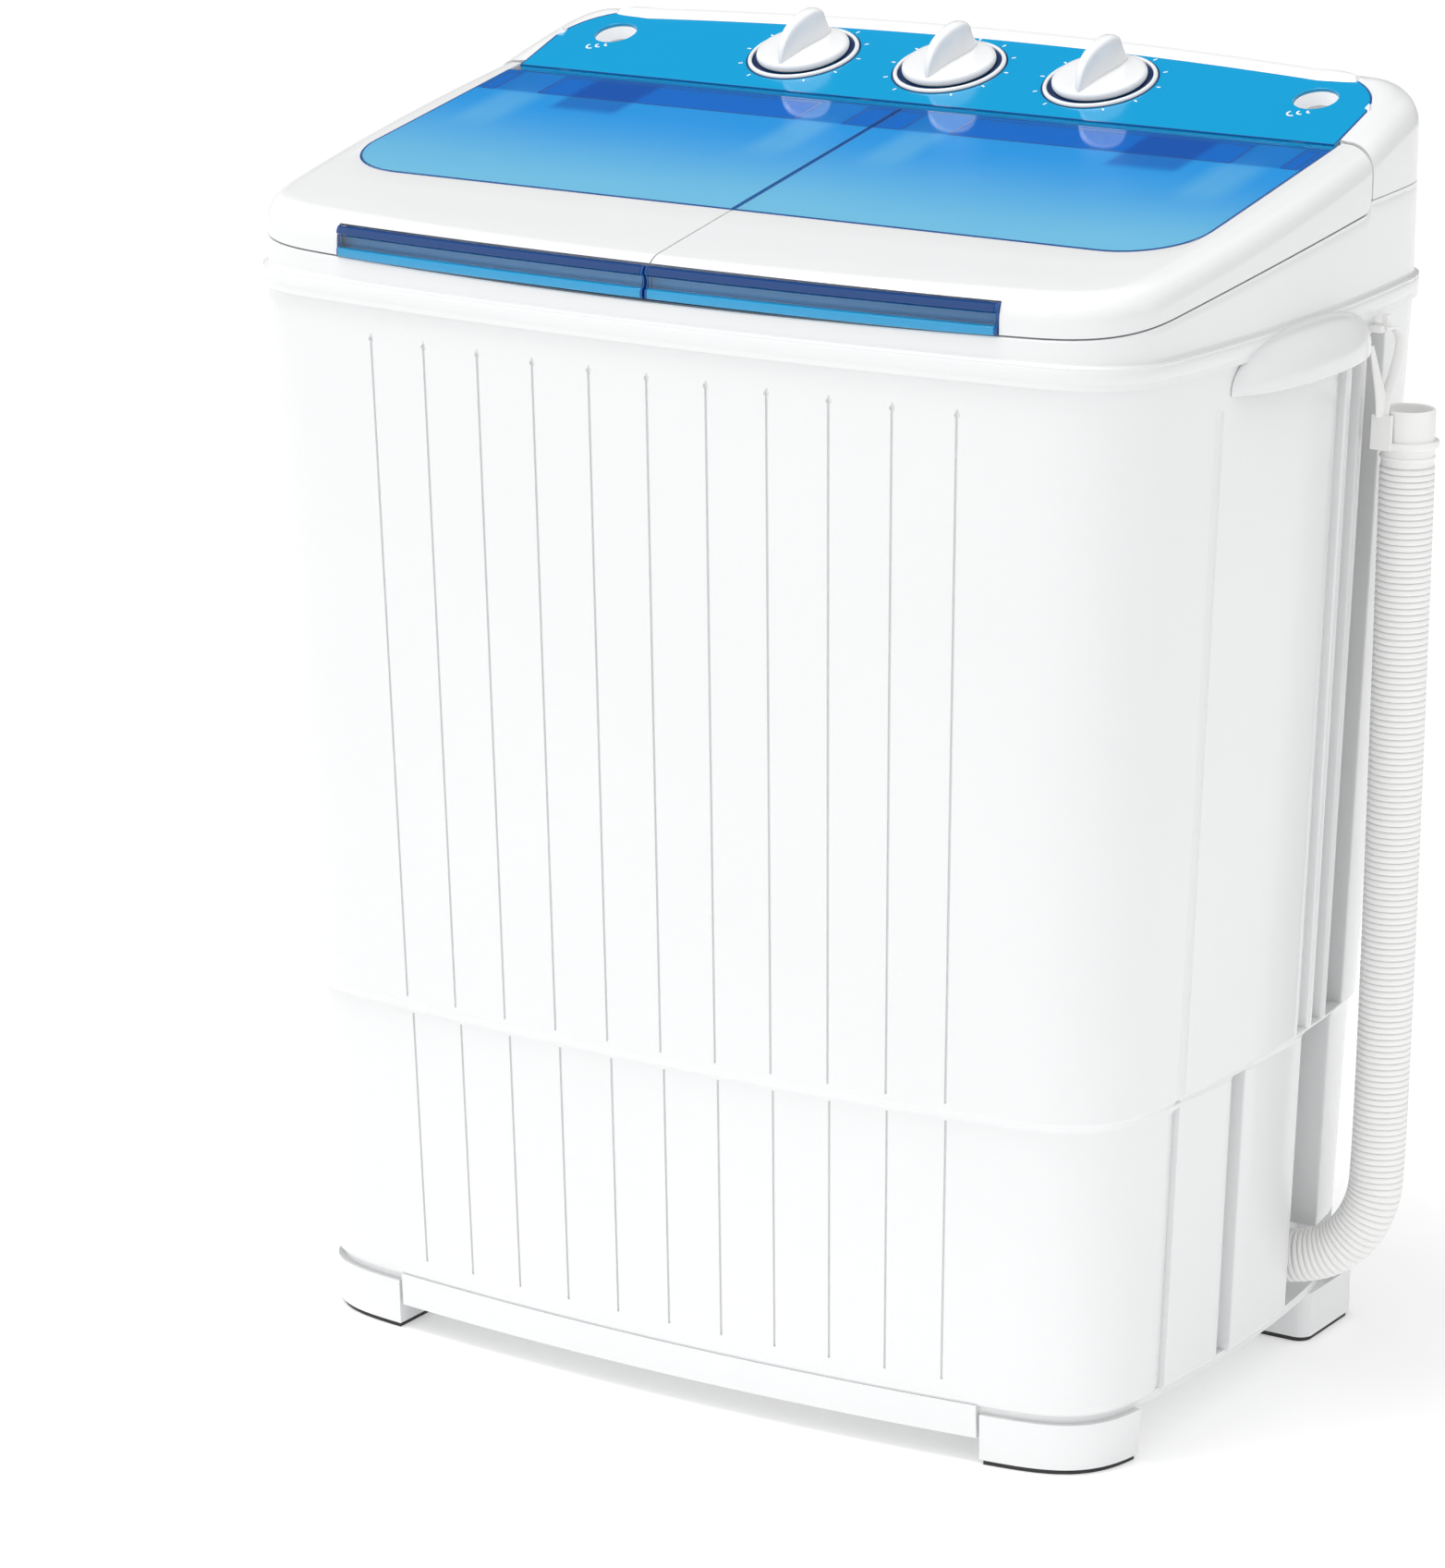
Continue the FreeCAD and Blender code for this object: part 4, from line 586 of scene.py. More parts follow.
# ---------------------------------------------------------------- cabinet shell
GROOVES = 11
GROOVE_PITCH = 36.55
GROOVE_LOW, GROOVE_HIGH = 46.0, 580.0
GROOVE_DEPTH = 1.3
GROOVE_HALF = 0.75
PIP_R = 1.5
FILLET = 1.3
CHANNEL_FLOOR = 236.0
# Recesses of the side wall: y from, y to, z from, z to, depth (or None for the deep channel floor).
SIDE_RECESSES = [
    (43.0, 56.0, 203.0, 583.0, 5.0),
    (63.0, 76.0, 203.0, 586.0, 9.0),
    (83.0, 107.0, 203.0, 588.0, 22.0),
    (57.0, 97.0, -50.0, 199.5, None),
    (90.0, 131.0, -50.0, 72.0, None),
    (-29.0, -14.0, -50.0, 198.0, 15.0),
]
RIB_Y, RIB_HALF, RIB_TOP, RIB_HEIGHT = -88.5, 4.0, 577.0, 1.9
LOWER_RAMP = (-100.0, -84.0)
LOWER_RAMP_DEPTH = 3.6


def fillet_drop(distance, depth):
    """How far the surface falls at a distance outside a recess edge, so that the edge is round."""
    if distance <= 0:
        return depth
    if distance >= FILLET:
        return 0.0
    return min(depth, FILLET - math.sqrt(FILLET ** 2 - (FILLET - distance) ** 2))


def side_depth(y, z, wall_x):
    """Depth of the side wall's surface below the plain wall."""
    depth = 0.0
    for y0, y1, z0, z1, full in SIDE_RECESSES:
        distance = max(y0 - y, y - y1, z0 - z, z - z1)
        target = wall_x - CHANNEL_FLOOR if full is None else full
        depth = max(depth, fillet_drop(distance, target))
    across = abs(y - RIB_Y) / RIB_HALF
    if across < 1 and STEP_HIGH - 4 < z < RIB_TOP:
        height = RIB_HEIGHT * math.sqrt(1 - across ** 2)
        top_fade = math.sqrt(clamp(1 - clamp((z - RIB_TOP + RIB_HALF) / RIB_HALF, 0, 1) ** 2, 0, 1))
        depth -= height * top_fade
    if z < STEP_LOW and LOWER_RAMP[0] < y < LOWER_RAMP[1]:
        run = (y - LOWER_RAMP[0]) / (LOWER_RAMP[1] - LOWER_RAMP[0])
        depth = max(depth, LOWER_RAMP_DEPTH * run ** 2 * smooth((STEP_LOW - z) / 4))
    return depth


def groove_depth(x_top, z):
    """Depth of the front's upright grooves, each closed at the top by a round pip."""
    if not GROOVE_LOW <= z <= GROOVE_HIGH + PIP_R or STEP_LOW - 1 < z < STEP_HIGH + 3:
        return 0.0
    nearest = round(x_top / GROOVE_PITCH) * GROOVE_PITCH
    offset = abs(x_top - nearest)
    if abs(nearest) > GROOVE_PITCH * (GROOVES - 1) / 2 + 1:
        return 0.0
    half = GROOVE_HALF
    if z > GROOVE_HIGH - PIP_R:
        half = math.sqrt(max(0.0, PIP_R ** 2 - (z - GROOVE_HIGH) ** 2))
    if offset > half + 0.01:
        return 0.0
    return GROOVE_DEPTH


def cabinet_inset(z):
    """How far the wall stands back at a height: the soft step low down and the rounded bottom edge."""
    soft = STEP_INSET * (1 - smooth((z - STEP_LOW) / (STEP_HIGH - STEP_LOW)))
    bottom_round = 1.2 * (1 - smooth((z - CABINET_BOTTOM) / 2.5))
    return soft + bottom_round


def edge_steps(values, signs):
    """Extra lines beside each recess edge, close enough to draw its round edge."""
    lines = []
    for value, sign in zip(values, signs):
        lines += [value + sign * d for d in (0.0, 0.04, 0.3, 0.75, FILLET)]
    return lines


def build_cabinet():
    """Outer shell: one grid whose lines crowd together where a groove or a recess has an edge."""
    flat = HALF_WIDTH - CORNER
    fronts = []
    for index in range(GROOVES):
        middle = (index - (GROOVES - 1) / 2) * GROOVE_PITCH
        for offset in (-2.0, -1.55, -1.45, -0.8, -0.7, 0.0, 0.7, 0.8, 1.45, 1.55, 2.0):
            fronts.append((middle + offset) / flat)
        if index < GROOVES - 1:
            fronts += [(middle + GROOVE_PITCH * k / 4) / flat for k in (1, 2, 3)]
    ends = [(GROOVE_PITCH * 5 + 10) / flat, (GROOVE_PITCH * 5 + 24) / flat, 1.0]
    fronts = sorted(fronts + ends + [-v for v in ends])

    ys, zs = [], []
    for y0, y1, z0, z1, _ in SIDE_RECESSES:
        ys += edge_steps((y0, y1), (-1, 1))
        zs += edge_steps((z1,), (1,))
        if z0 > 0:
            zs += edge_steps((z0,), (-1,))
    ys += [RIB_Y + RIB_HALF * k for k in (-1.3, -1.0, -0.95, -0.8, -0.5, 0, 0.5, 0.8, 0.95, 1.0, 1.3)]
    ys += [-100, -96, -91, -84.01, -83.9, -83.0, -60, -45, -36, -21, 0, 14, 28, 36, 50, 60, 70, 100, 104]
    side = sorted(set(round(y, 3) for y in ys if -109 < y < 110))
    zs += [CABINET_BOTTOM, 34.6, 35.4, 36.5, 40, GROOVE_LOW - 0.05, GROOVE_LOW, 56]
    zs += [64, 80, 90, 110, 140, 170, 188]
    zs += [192, 194, 195.05, 195.95, 196.8, 197.6, 198.8, 200, 201, 202, 205, 206.05, 206.1, 209, 216, 240]
    zs += [280 + 50 * k for k in range(6)] + [560, 573, 574.5, 575.7, 576.4, 576.95, 577.1]
    zs += [GROOVE_HIGH + PIP_R * math.sin(math.radians(a)) for a in (-90, -60, -30, 0, 30, 60, 89, 91)]
    zs += [590, 594, CABINET_TOP + 0.3]
    heights = sorted(set(round(z, 3) for z in zs if CABINET_BOTTOM <= z <= CABINET_TOP + 0.3))

    columns = loop_columns(fronts, side)
    rows = []
    for z in heights:
        sizes = sizes_at(z, cabinet_inset(z))
        row = []
        for column in columns:
            x, y = plan_point(column, *sizes)
            if column[0] == "front" and column[3] < 0:
                y += groove_depth(column[1] * flat, z)
            if column[0] == "side" or (column[0] == "corner" and column[3] > 0):
                x -= math.copysign(side_depth(y, z, abs(x)), x)
            row.append((x, y, z))
        rows.append(row)
    white_part(thicken(grid_piece("cabinet_shell", rows, wrap_columns=True), 2.2), ["cabinet"])


# ---------------------------------------------------------------- top frame: bead and wall under the lids
BEAD_TOP = 613.0


def top_edge_z(y):
    """Upper edge of the top frame's wall: the lid seam, a round corner, then the console seam."""
    centre = SKIRT_END_Y - SKIRT_CORNER
    if y >= SKIRT_END_Y:
        return CONSOLE_BOTTOM - 0.5
    if y > centre:
        return seam_z(y) + SKIRT_CORNER - math.sqrt(SKIRT_CORNER ** 2 - (y - centre) ** 2)
    return seam_z(y)


def build_top_band():
    """Bead and upper wall, drawn just outside the plain frame that carries the tub mouths."""
    side = spaced(-130, 60, 24) + [66, 70, 72, 74, 76, 77.5, 78.4, 78.95, 79.0, 82, 90, 100, 115, 130]
    columns = loop_columns(spaced(-1, 1, 41), side)
    bead = [(598.45, 0.15), (598.9, 0.9), (600.0, 1.8), (602.0, 2.6), (605.0, 2.8), (608.0, 2.75),
            (609.6, 2.3), (610.6, 1.5), (611.0, 0.6), (611.6, 0.25), (BEAD_TOP, 0.2)]
    rows = [wall_row(columns, -out, lambda y: z) for z, out in bead]
    for share in (0.25, 0.5, 0.75, 0.93, 1.0):
        inset = -0.2 if share < 0.99 else 0.4
        rows.append(wall_row(columns, inset, lambda y: lerp(BEAD_TOP, top_edge_z(y), share)))
    for inset, drop in ((1.5, 0), (3.2, 3)):
        rows.append(wall_row(columns, inset, lambda y: top_edge_z(y) - drop))
    white_part(thicken(grid_piece("top_band", rows, wrap_columns=True), 0.1))


def build_seam_shade_strip():
    """Dark grey strip in the seam under the lids: painted shade that draws the dark line of the gap round the
    top frame.
    """
    side = spaced(-130, 60, 16) + [66, 72, 76]
    columns = (side_columns(side[::-1], 1) + corner_columns(12, 1, -1, True)
               + front_columns(spaced(1, -1, 41), -1) + corner_columns(12, -1, -1) + side_columns(side, -1))
    section = ((0.7, -0.6), (0.7, 0.75), (2.4, 0.75), (2.4, -0.6))
    rows = [wall_row(columns, inset, lambda y: seam_z(y) + rise) for inset, rise in section]
    strip = grid_piece("seam_shade_strip", rows, wrap_rows=True, cap_columns=True)
    finish_mesh(strip, SEAM_SHADE_GREY, "machine")


# ---------------------------------------------------------------- lids
def window_border(column):
    """Plan point on the window's edge that belongs to a column of the outer wall."""
    kind, value, sx, _ = column
    flat = WINDOW_HALF - WINDOW_CORNER
    if kind == "front":
        return value * flat, WINDOW_FRONT_Y
    if kind == "side":
        return sx * WINDOW_HALF, max(value, WINDOW_FRONT_Y + WINDOW_CORNER) if value < 0 else value
    angle = math.radians(90 * value)
    x = flat + WINDOW_CORNER * math.sin(angle)
    y = WINDOW_FRONT_Y + WINDOW_CORNER * (1 - math.cos(angle))
    return sx * x, y


def shoulder(column, radius, bottom, surface_z, slope, border, break_z=None):
    """Profile from the bottom edge up the wall, round the shoulder and over to the border point."""
    out = outward(column)
    wall = Vector((*wall_point(column), 0))
    inside = wall - out * radius
    rise = math.atan(math.tan(slope) * -out.y)
    centre_z = surface_z(inside.y) - radius / math.cos(rise)
    end = math.pi / 2 - rise
    if break_z is None:
        split = 0.3 * end
    else:
        split = clamp(math.asin(clamp((break_z - centre_z) / radius, 0.05, 0.9)), 0.1, 0.8 * end)
    angles = spaced(0, split, 5) + [split + 0.004] + spaced(split, end, 10)[1:]
    profile = [Vector((wall.x, wall.y, z)) for z in (bottom, lerp(bottom, centre_z, 0.5))]
    for angle in angles:
        point = inside + out * radius * math.cos(angle)
        profile.append(Vector((point.x, point.y, centre_z + radius * math.sin(angle))))
    edge = Vector((*border, surface_z(border[1])))
    last = profile[-1]
    profile += [last.lerp(edge, share) for share in (0.33, 0.66, 0.94)]
    profile += [edge - Vector((0, 0, drop)) for drop in (0.35, 3.0)]
    return [tuple(point) for point in profile]


POCKET_ROWS = 7             # rows of the profile that lie behind the handle
POCKET_DEPTH = 7.5


def skirt_bottom(y):
    return top_edge_z(min(y, SKIRT_END_Y - 0.02)) + LID_GAP


def build_lid_frame(side, label):
    """White surround of one lid, from its skirt over the round shoulder to the window's edge."""
    flat = HALF_WIDTH - CORNER
    pocket = HANDLE_END_X + 0.4
    fronts = [LID_GAP / 2 / flat] + [k / 16 for k in range(1, 15)]
    fronts += [pocket / flat, (pocket + 0.1) / flat, 0.96, 1.0]
    ys = spaced(-134, 62, 20) + [67, 70, 72, 74, 76, 77.5, 78.5, SKIRT_END_Y]
    columns = (front_columns([side * value for value in sorted(fronts)], -1) + corner_columns(16, side, -1)
               + side_columns(ys, side))
    profiles = []
    for column in columns:
        is_front = column[0] == "front"
        bottom = skirt_bottom(wall_point(column)[1])
        profile = shoulder(column, EDGE_ROUND, bottom, lid_z, LID_SLOPE, window_border(column),
                           HANDLE_TOP + 0.4 if is_front else None)
        if is_front and abs(column[1]) * flat <= pocket + 0.01:
            pocket_y = wall_point(column, POCKET_DEPTH)[1]
            profile[:POCKET_ROWS] = [(x, pocket_y, z) for x, _, z in profile[:POCKET_ROWS]]
        profiles.append(profile)
    rows = [list(row) for row in zip(*profiles)]
    obj = thicken(grid_piece("lid_surround_" + label, rows, flip=side < 0), SHELL)
    finish_mesh(obj, WHITE, "lid_" + label, ["lid_frame_" + label])


def build_window(side, label):
    """Clear plate of one lid, with its rear rail, the walls under it and fine dark rims of painted shade
    round its edge and over the walls.
    """
    gap = 0.25
    inner = LID_GAP / 2
    half = WINDOW_HALF - gap
    front = WINDOW_FRONT_Y + gap
    corner = WINDOW_CORNER - gap
    place = plane_place(LID_SLOPE)

    def on_lid(points):
        return on_plane(LID_SLOPE, [(side * x, y) for x, y in points])

    outline = [(inner, front), (half - corner, front)]
    outline += arc(half - corner, front + corner, corner, spaced(-math.pi / 2, 0, 17)[1:-1])
    outline += [(half, front + corner), (half, HINGE_Y + 1), (inner, HINGE_Y + 1)]
    outline = on_lid(outline)
    if side < 0:
        outline.reverse()
    obj = plate("lid_glass_" + label, outline, [], LID_SKIN, place, 0.6)

    builder = Builder()

    def run(section, x0, x1):
        builder.prism_x(section, *sorted((side * x0, side * x1)))

    # Rail: a hooked lip that rolls down behind the hinge line, open at the hinge ears.
    start, stop = math.pi / 2 + LID_SLOPE, math.radians(-8)
    section = arc(HINGE_Y, HINGE_Z, HINGE_DEPTH, spaced(start, stop, 13))
    section += arc(HINGE_Y, HINGE_Z, HINGE_DEPTH - 2.4, spaced(stop, start, 13))
    ear_room = 4.8
    starts = [LID_GAP / 2] + [x + ear_room for x in HINGE_EARS]
    stops = [x - ear_room for x in HINGE_EARS] + [PANEL_HALF]
    for x0, x1 in zip(starts, stops):
        run(section, x0, x1)
    # Stiffening walls under the plate: a front wall and a partition on each side of every ear.
    wall_y, wall_drop, wall_thick = 34.0, 8.5, 1.6
    wall_back = wall_y + wall_thick
    bay_half, bay_end = 15, 58
    top = LID_SKIN / math.cos(LID_SLOPE) + 0.05

    def hanging(x0, x1, y0, y1):
        low = lid_z(wall_y) - wall_drop
        run([(y0, low), (y0, lid_z(y0) - top), (y1, lid_z(y1) - top), (y1, low)], x0, x1)

    starts = [LID_GAP] + [x + bay_half for x in HINGE_EARS]
    stops = [x - bay_half for x in HINGE_EARS] + [PANEL_HALF - 2]
    walls = list(zip(starts, stops))
    for x0, x1 in walls:
        hanging(x0, x1, wall_y, wall_back)
    for x in HINGE_EARS:
        hanging(x - bay_half - wall_thick, x - bay_half, wall_back + 0.1, bay_end)
        hanging(x + bay_half, x + bay_half + wall_thick, wall_back + 0.1, bay_end)
    rib_low = top + 7.0
    rib = [(y, lid_z(y) - drop) for y, drop in ((-60, top), (57, top), (57, rib_low), (-40, rib_low))]
    for x in (LID_GAP / 2 + 0.2, PANEL_HALF - 8):
        run(rib, x, x + 1.4)
    # Painted shade: dark lines on the plate over the tops of the walls below.
    edge_y, edge_end = REAR_BAND[1] - 2, 62
    for index, (x0, x1) in enumerate(walls):
        corners = on_lid([(x0, edge_y), (x1, edge_y), (x1, edge_end), (x0, edge_end)])
        lid_part(rim("lid_wall_shade_line_%s_%d" % (label, index), corners, 1.0, place), DEEP_BLUE, label)
    lid_part(soften(builder.make("lid_rail_" + label), 0.35, 2), DEEP_BLUE, label)
    # Painted shade: a dark band round the plate's edge.
    lid_part(rim("lid_edge_shade_" + label, outline, 1.1, place), DEEP_BLUE, label)
    lid_part(obj, WINDOW_BLUE, label, ["lid_window_" + label])


# Outside of the pull strip as (out, z) points, in three bands from the top down.
PULL_BACK = -3.6
PULL_BEVEL = [(-0.5, HANDLE_TOP), (1.2, 639.2), (2.3, 636.8), (HANDLE_OUTSET, 635.9), (0.9, 634.6),
              (PULL_BACK, 634.6), (PULL_BACK, 638.6)]
PULL_FACE = [(0.8, 634.5), (0.2, 632.0), (0.2, 629.6), (0.9, 628.3), (PULL_BACK, 628.3), (PULL_BACK, 634.5)]
PULL_LIP = [(1.0, 628.2), (HANDLE_OUTSET, 627.4), (HANDLE_OUTSET, 624.0), (1.9, 622.9), (0.8, HANDLE_LOW),
            (PULL_BACK, HANDLE_LOW), (PULL_BACK, 628.2)]


def build_handle(side, label):
    """Clear pull strip: a bevelled top in a darker blue for painted shade, a clear face and a proud lower lip
    in a brighter blue for painted light, closed by end walls.
    """
    flat = HALF_WIDTH - CORNER

    def front_y(x, out):
        return -(HALF_DEPTH + out - FRONT_BOW * (x / flat) ** 2)

    def strip(name, section, x_values, material, replaced=()):
        rows = []
        for out, z in section:
            row = []
            for x in x_values:
                end_round = clamp((x - HANDLE_END_X + 3) / 3, 0, 1) ** 2 * 1.2
                y = front_y(x, out) + end_round
                row.append((side * x, y, z if z > 626 else max(z, seam_z(y) + 1.2)))
            rows.append(row)
        obj = grid_piece(name + label, rows, wrap_rows=True, cap_columns=True, flip=side > 0)
        lid_part(soften(obj, 0.3, 2, 50), material, label, replaced, 40)

    inner, outer = LID_GAP / 2 + 0.2, HANDLE_END_X
    body_xs = [inner + 1.3] + spaced(8, outer - 3, 26) + [outer - 1.5]
    # Top bevel in the darker blue for painted shade, lower lip in the brighter blue for painted light.
    strip("lid_pull_bevel_", PULL_BEVEL, body_xs, BEVEL_SHADE_BLUE)
    strip("lid_pull_lip_", PULL_LIP, body_xs, LIP_LIT_BLUE)
    whole = PULL_BEVEL[:5] + PULL_FACE[:4] + PULL_LIP[:6] + PULL_BEVEL[-1:]
    strip("lid_pull_inner_end_", whole, [inner, inner + 1.2], DEEP_BLUE)
    strip("lid_pull_outer_end_", whole, [outer - 1.4, outer - 0.7, outer], DEEP_BLUE)
    strip("lid_pull_face_", PULL_FACE, body_xs, HANDLE_BLUE, ["lid_handle_" + label])


# ---------------------------------------------------------------- console and panel
PANEL_CORNER = ((PANEL_HALF, PANEL_SIDE_END_Y), (250.0, 138.0), (212.0, 150.0))
PANEL_BACK_Y = 162.0
SIDE_SHARE = 0.25           # part of the panel's round corner that belongs to the side wall's columns


def panel_corner_point(share):
    """Point on the panel's round corner, from the side at 0 to the back at 1."""
    (first_x, first_y), _, (last_x, last_y) = PANEL_CORNER
    cx, cy, radius = circle_through(*PANEL_CORNER)
    start = math.atan2(first_y - cy, first_x - cx)
    end = math.atan2(last_y - cy, last_x - cx)
    angle = lerp(start, end, share)
    return cx + radius * math.cos(angle), cy + radius * math.sin(angle)


def panel_back_point(share):
    """Point of the panel's bowed back edge; share runs from -1 at the left to 1 at the right."""
    end_x, end_y = PANEL_CORNER[2]
    return share * end_x, PANEL_BACK_Y - (PANEL_BACK_Y - end_y) * share * share


def panel_border(column):
    """Plan point on the panel's edge that belongs to a column of the outer wall."""
    kind, value, sx, _ = column
    if kind == "front":
        return panel_back_point(value)
    if kind == "side" and value <= PANEL_SIDE_END_Y:
        return sx * PANEL_HALF, value
    if kind == "side":
        share = SIDE_SHARE * (value - PANEL_SIDE_END_Y) / (HALF_DEPTH - CORNER - PANEL_SIDE_END_Y)
    else:
        share = lerp(1.0, SIDE_SHARE, value)
    x, y = panel_corner_point(share)
    return sx * x, y


def console_radius(column):
    """Radius of the console's shoulder: tight beside the lids, wide at the back."""
    kind, value, _, _ = column
    back, middle = 31.0, 20.0
    if kind == "side":
        return lerp(EDGE_ROUND, middle, clamp((value - CONSOLE_START_Y) / 54, 0, 1) ** 1.5)
    if kind == "corner":
        return lerp(back, middle, value)
    return back


def build_console():
    side_ys = [CONSOLE_START_Y, 81.2, 84, 90, 98, 106, PANEL_SIDE_END_Y, 119, 126, 134]
    columns = (side_columns(side_ys, 1) + corner_columns(16, 1, 1, True) + front_columns(spaced(1, -1, 33), 1)
               + corner_columns(16, -1, 1) + side_columns(side_ys[::-1], -1))
    profiles = []
    for column in columns:
        profiles.append(shoulder(column, console_radius(column), CONSOLE_BOTTOM, panel_z, PANEL_SLOPE,
                                 panel_border(column)))
    shell = thicken(grid_piece("console_shell", [list(row) for row in zip(*profiles)]), SHELL)
    # End walls of the two shoulders and the front wall behind the lids.
    front = Builder()
    for index, sign in ((0, 1), (-1, -1)):
        loop = profiles[index] + [(sign * (PANEL_HALF - 1), CONSOLE_START_Y, CONSOLE_BOTTOM)]
        rows = [[(x, CONSOLE_START_Y + depth, z) for depth in (0.2, 2.2)] for x, _, z in loop]
        front.grid(rows, wrap_rows=True, cap_columns=True, flip=sign > 0)
    start_y, back_y = 75.3, CONSOLE_START_Y + 3
    section = [(start_y, panel_z(start_y) - 2.2), (start_y, CONSOLE_BOTTOM), (back_y, CONSOLE_BOTTOM),
               (back_y, panel_z(back_y) - 2.2)]
    front.prism_x(section, -PANEL_HALF + 0.5, PANEL_HALF - 0.5)
    white_part(soften(front.make("console_front"), 0.5, 2))
    white_part(shell, ["console"])


def build_panel():
    """Blue sheet with holes for the inlets and shafts, its dark rim of painted shade and the lip along its
    front in a brighter blue for a painted highlight.
    """
    gap = 0.3
    place = plane_place(PANEL_SLOPE)
    right = [panel_corner_point(k / 14) for k in range(14)]
    back = [panel_back_point(share) for share in spaced(1, -1, 41)]
    left = [(-x, y) for x, y in reversed(right)]
    outline = [(-PANEL_HALF + gap, PANEL_FRONT_Y), (PANEL_HALF - gap, PANEL_FRONT_Y)]
    outline += [(x - math.copysign(gap, x), y - gap * 0.7) for x, y in right + back + left]
    outline = on_plane(PANEL_SLOPE, outline)
    holes = [circle(x, y, INLET_R) for x, y in on_plane(PANEL_SLOPE, INLETS)]
    holes += [circle(x, y, SHAFT_HOLE_R) for x, y in on_plane(PANEL_SLOPE, [(x, KNOB_Y) for x in KNOB_XS])]
    sheet = plate("blue_panel_sheet", outline, holes, 2.0, place, 0.4)
    # Painted shade: a dark band along the sheet's edge.
    finish_mesh(rim("panel_edge_shade", outline, 0.9, place), DEEP_BLUE, "machine")
    # Front lip in the brighter blue: a painted highlight along the panel's front edge.
    lip = Builder()
    top = panel_z(PANEL_FRONT_Y) - 1.6
    front, back = PANEL_FRONT_Y - 0.2, PANEL_FRONT_Y + 0.6
    section = [(front, top), (front, top - 9), (back, top - 9), (back, top + 0.2)]
    lip.prism_x(section, -PANEL_HALF + 1, PANEL_HALF - 1)
    finish_mesh(lip.make("panel_front_edge"), LIP_LIT_BLUE, "machine")
    finish_mesh(sheet, PANEL_BLUE, "machine", ["control_panel"])


def build_knob(x, body, node, label):
    """Round dial with a tall curved finger wing, thick at the back and pointed at the front."""
    place = panel_place(x, KNOB_Y)
    builder = Builder()
    dial = [(0.01, 0.9), (25.8, 0.9), (26.6, 1.2), (27.0, 2.0), (26.9, 3.8), (26.2, 5.0), (24.8, 5.7),
            (21.0, 6.1), (12.0, 6.5), (0.01, 6.6)]
    builder.lathe(dial, 72, place, closed=False)
    # The wing: stations along its length, each with a half width and a height.
    stations = [(-25.6, 0.5, 3.6), (-24.6, 1.3, 6.8), (-22.5, 2.3, 10.8), (-19.0, 3.4, 14.6),
                (-14.5, 4.4, 18.0), (-9.0, 5.1, 20.8), (-3.0, 5.8, 22.8), (4.0, 6.6, 23.9), (10.0, 7.2, 23.8),
                (15.0, 7.3, 22.5), (19.0, 6.6, 20.0), (21.8, 5.0, 16.8), (23.4, 2.6, 13.3), (23.9, 0.8, 11.0)]
    flank = [(-1.25, 0.0), (-1.08, 0.18), (-0.86, 0.42), (-0.72, 0.66), (-0.68, 0.84), (-0.58, 0.94),
             (-0.35, 0.99)]
    section = flank + [(0.0, 1.0)] + [(-across, share) for across, share in reversed(flank)]
    low = 4.6
    rows = []
    for along, half, height in stations:
        sway = 1.6 * math.sin(math.pi * along / 26.0)
        points = [(sway + across * half, along, lerp(low, height, share)) for across, share in section]
        rows.append([tuple(place @ Vector(point)) for point in points])
    builder.grid(rows, cap_rows=True, wrap_columns=True, flip=True)
    obj = builder.make("knob_" + label)
    modifier = obj.modifiers.new("smooth", "SUBSURF")
    modifier.levels = modifier.render_levels = 1
    finish_mesh(obj, WHITE, body, [node], 50)


def build_bezels():
    """White ring round each knob, with a dark band of painted shade on each side of it, where the gaps are.
    """
    rings, gap_shades = Builder(), Builder()
    ring = [(32.3, 0.05), (32.2, 0.9), (31.7, 1.6), (30.9, 1.9), (30.1, 1.6), (29.7, 1.0), (29.9, 0.05)]
    inner_gap = [(29.85, 0.06), (29.85, 0.4), (26.0, 0.4), (26.0, 0.06)]
    outer_gap = [(33.2, 0.04), (33.2, 0.3), (32.2, 0.3), (32.2, 0.04)]
    for x in KNOB_XS:
        rings.lathe(ring, 96, panel_place(x, KNOB_Y))
        gap_shades.lathe(inner_gap, 96, panel_place(x, KNOB_Y))
        gap_shades.lathe(outer_gap, 96, panel_place(x, KNOB_Y))
    white_part(rings.make("knob_rings"), ["knob_bezels"], 50)
    finish_mesh(gap_shades.make("knob_ring_gap_shades"), GAP_SHADE_NAVY, "machine")


def build_prints():
    """Generic marks: ticks beside each knob and small crescents beside each inlet."""
    builder = Builder()
    low, high = 0.02, 0.14

    def stroke(x, y, points, half):
        place = panel_place(x, y)
        rows = []
        for index, (u, v) in enumerate(points):
            before, after = points[max(0, index - 1)], points[min(index + 1, len(points) - 1)]
            along = Vector((after[0] - before[0], after[1] - before[1]))
            side = Vector((-along.y, along.x)).normalized() * half
            rows.append([tuple(place @ Vector((u + sign * side.x, v + sign * side.y, height)))
                         for sign, height in ((-1, low), (1, low), (1, high), (-1, high))])
        builder.grid(rows, wrap_columns=True, cap_rows=True)

    for x in KNOB_XS:
        for degrees in range(-60, 241, 30):
            angle = math.radians(degrees)
            stroke(x, KNOB_Y, [arc(0, 0, radius, [angle])[0] for radius in (35.2, 37.6)], 0.45)
    for x, y in INLETS:
        for index in range(3):
            crescent = arc(-5.0 + 4.4 * index, -19.5 + 1.8 * index, 2.7 - 0.7 * index,
                           [math.radians(degrees) for degrees in spaced(130, 310, 9)])
            stroke(x, y, crescent, 0.5)
    finish_mesh(builder.make("panel_marks"), PRINT_WHITE, "machine")


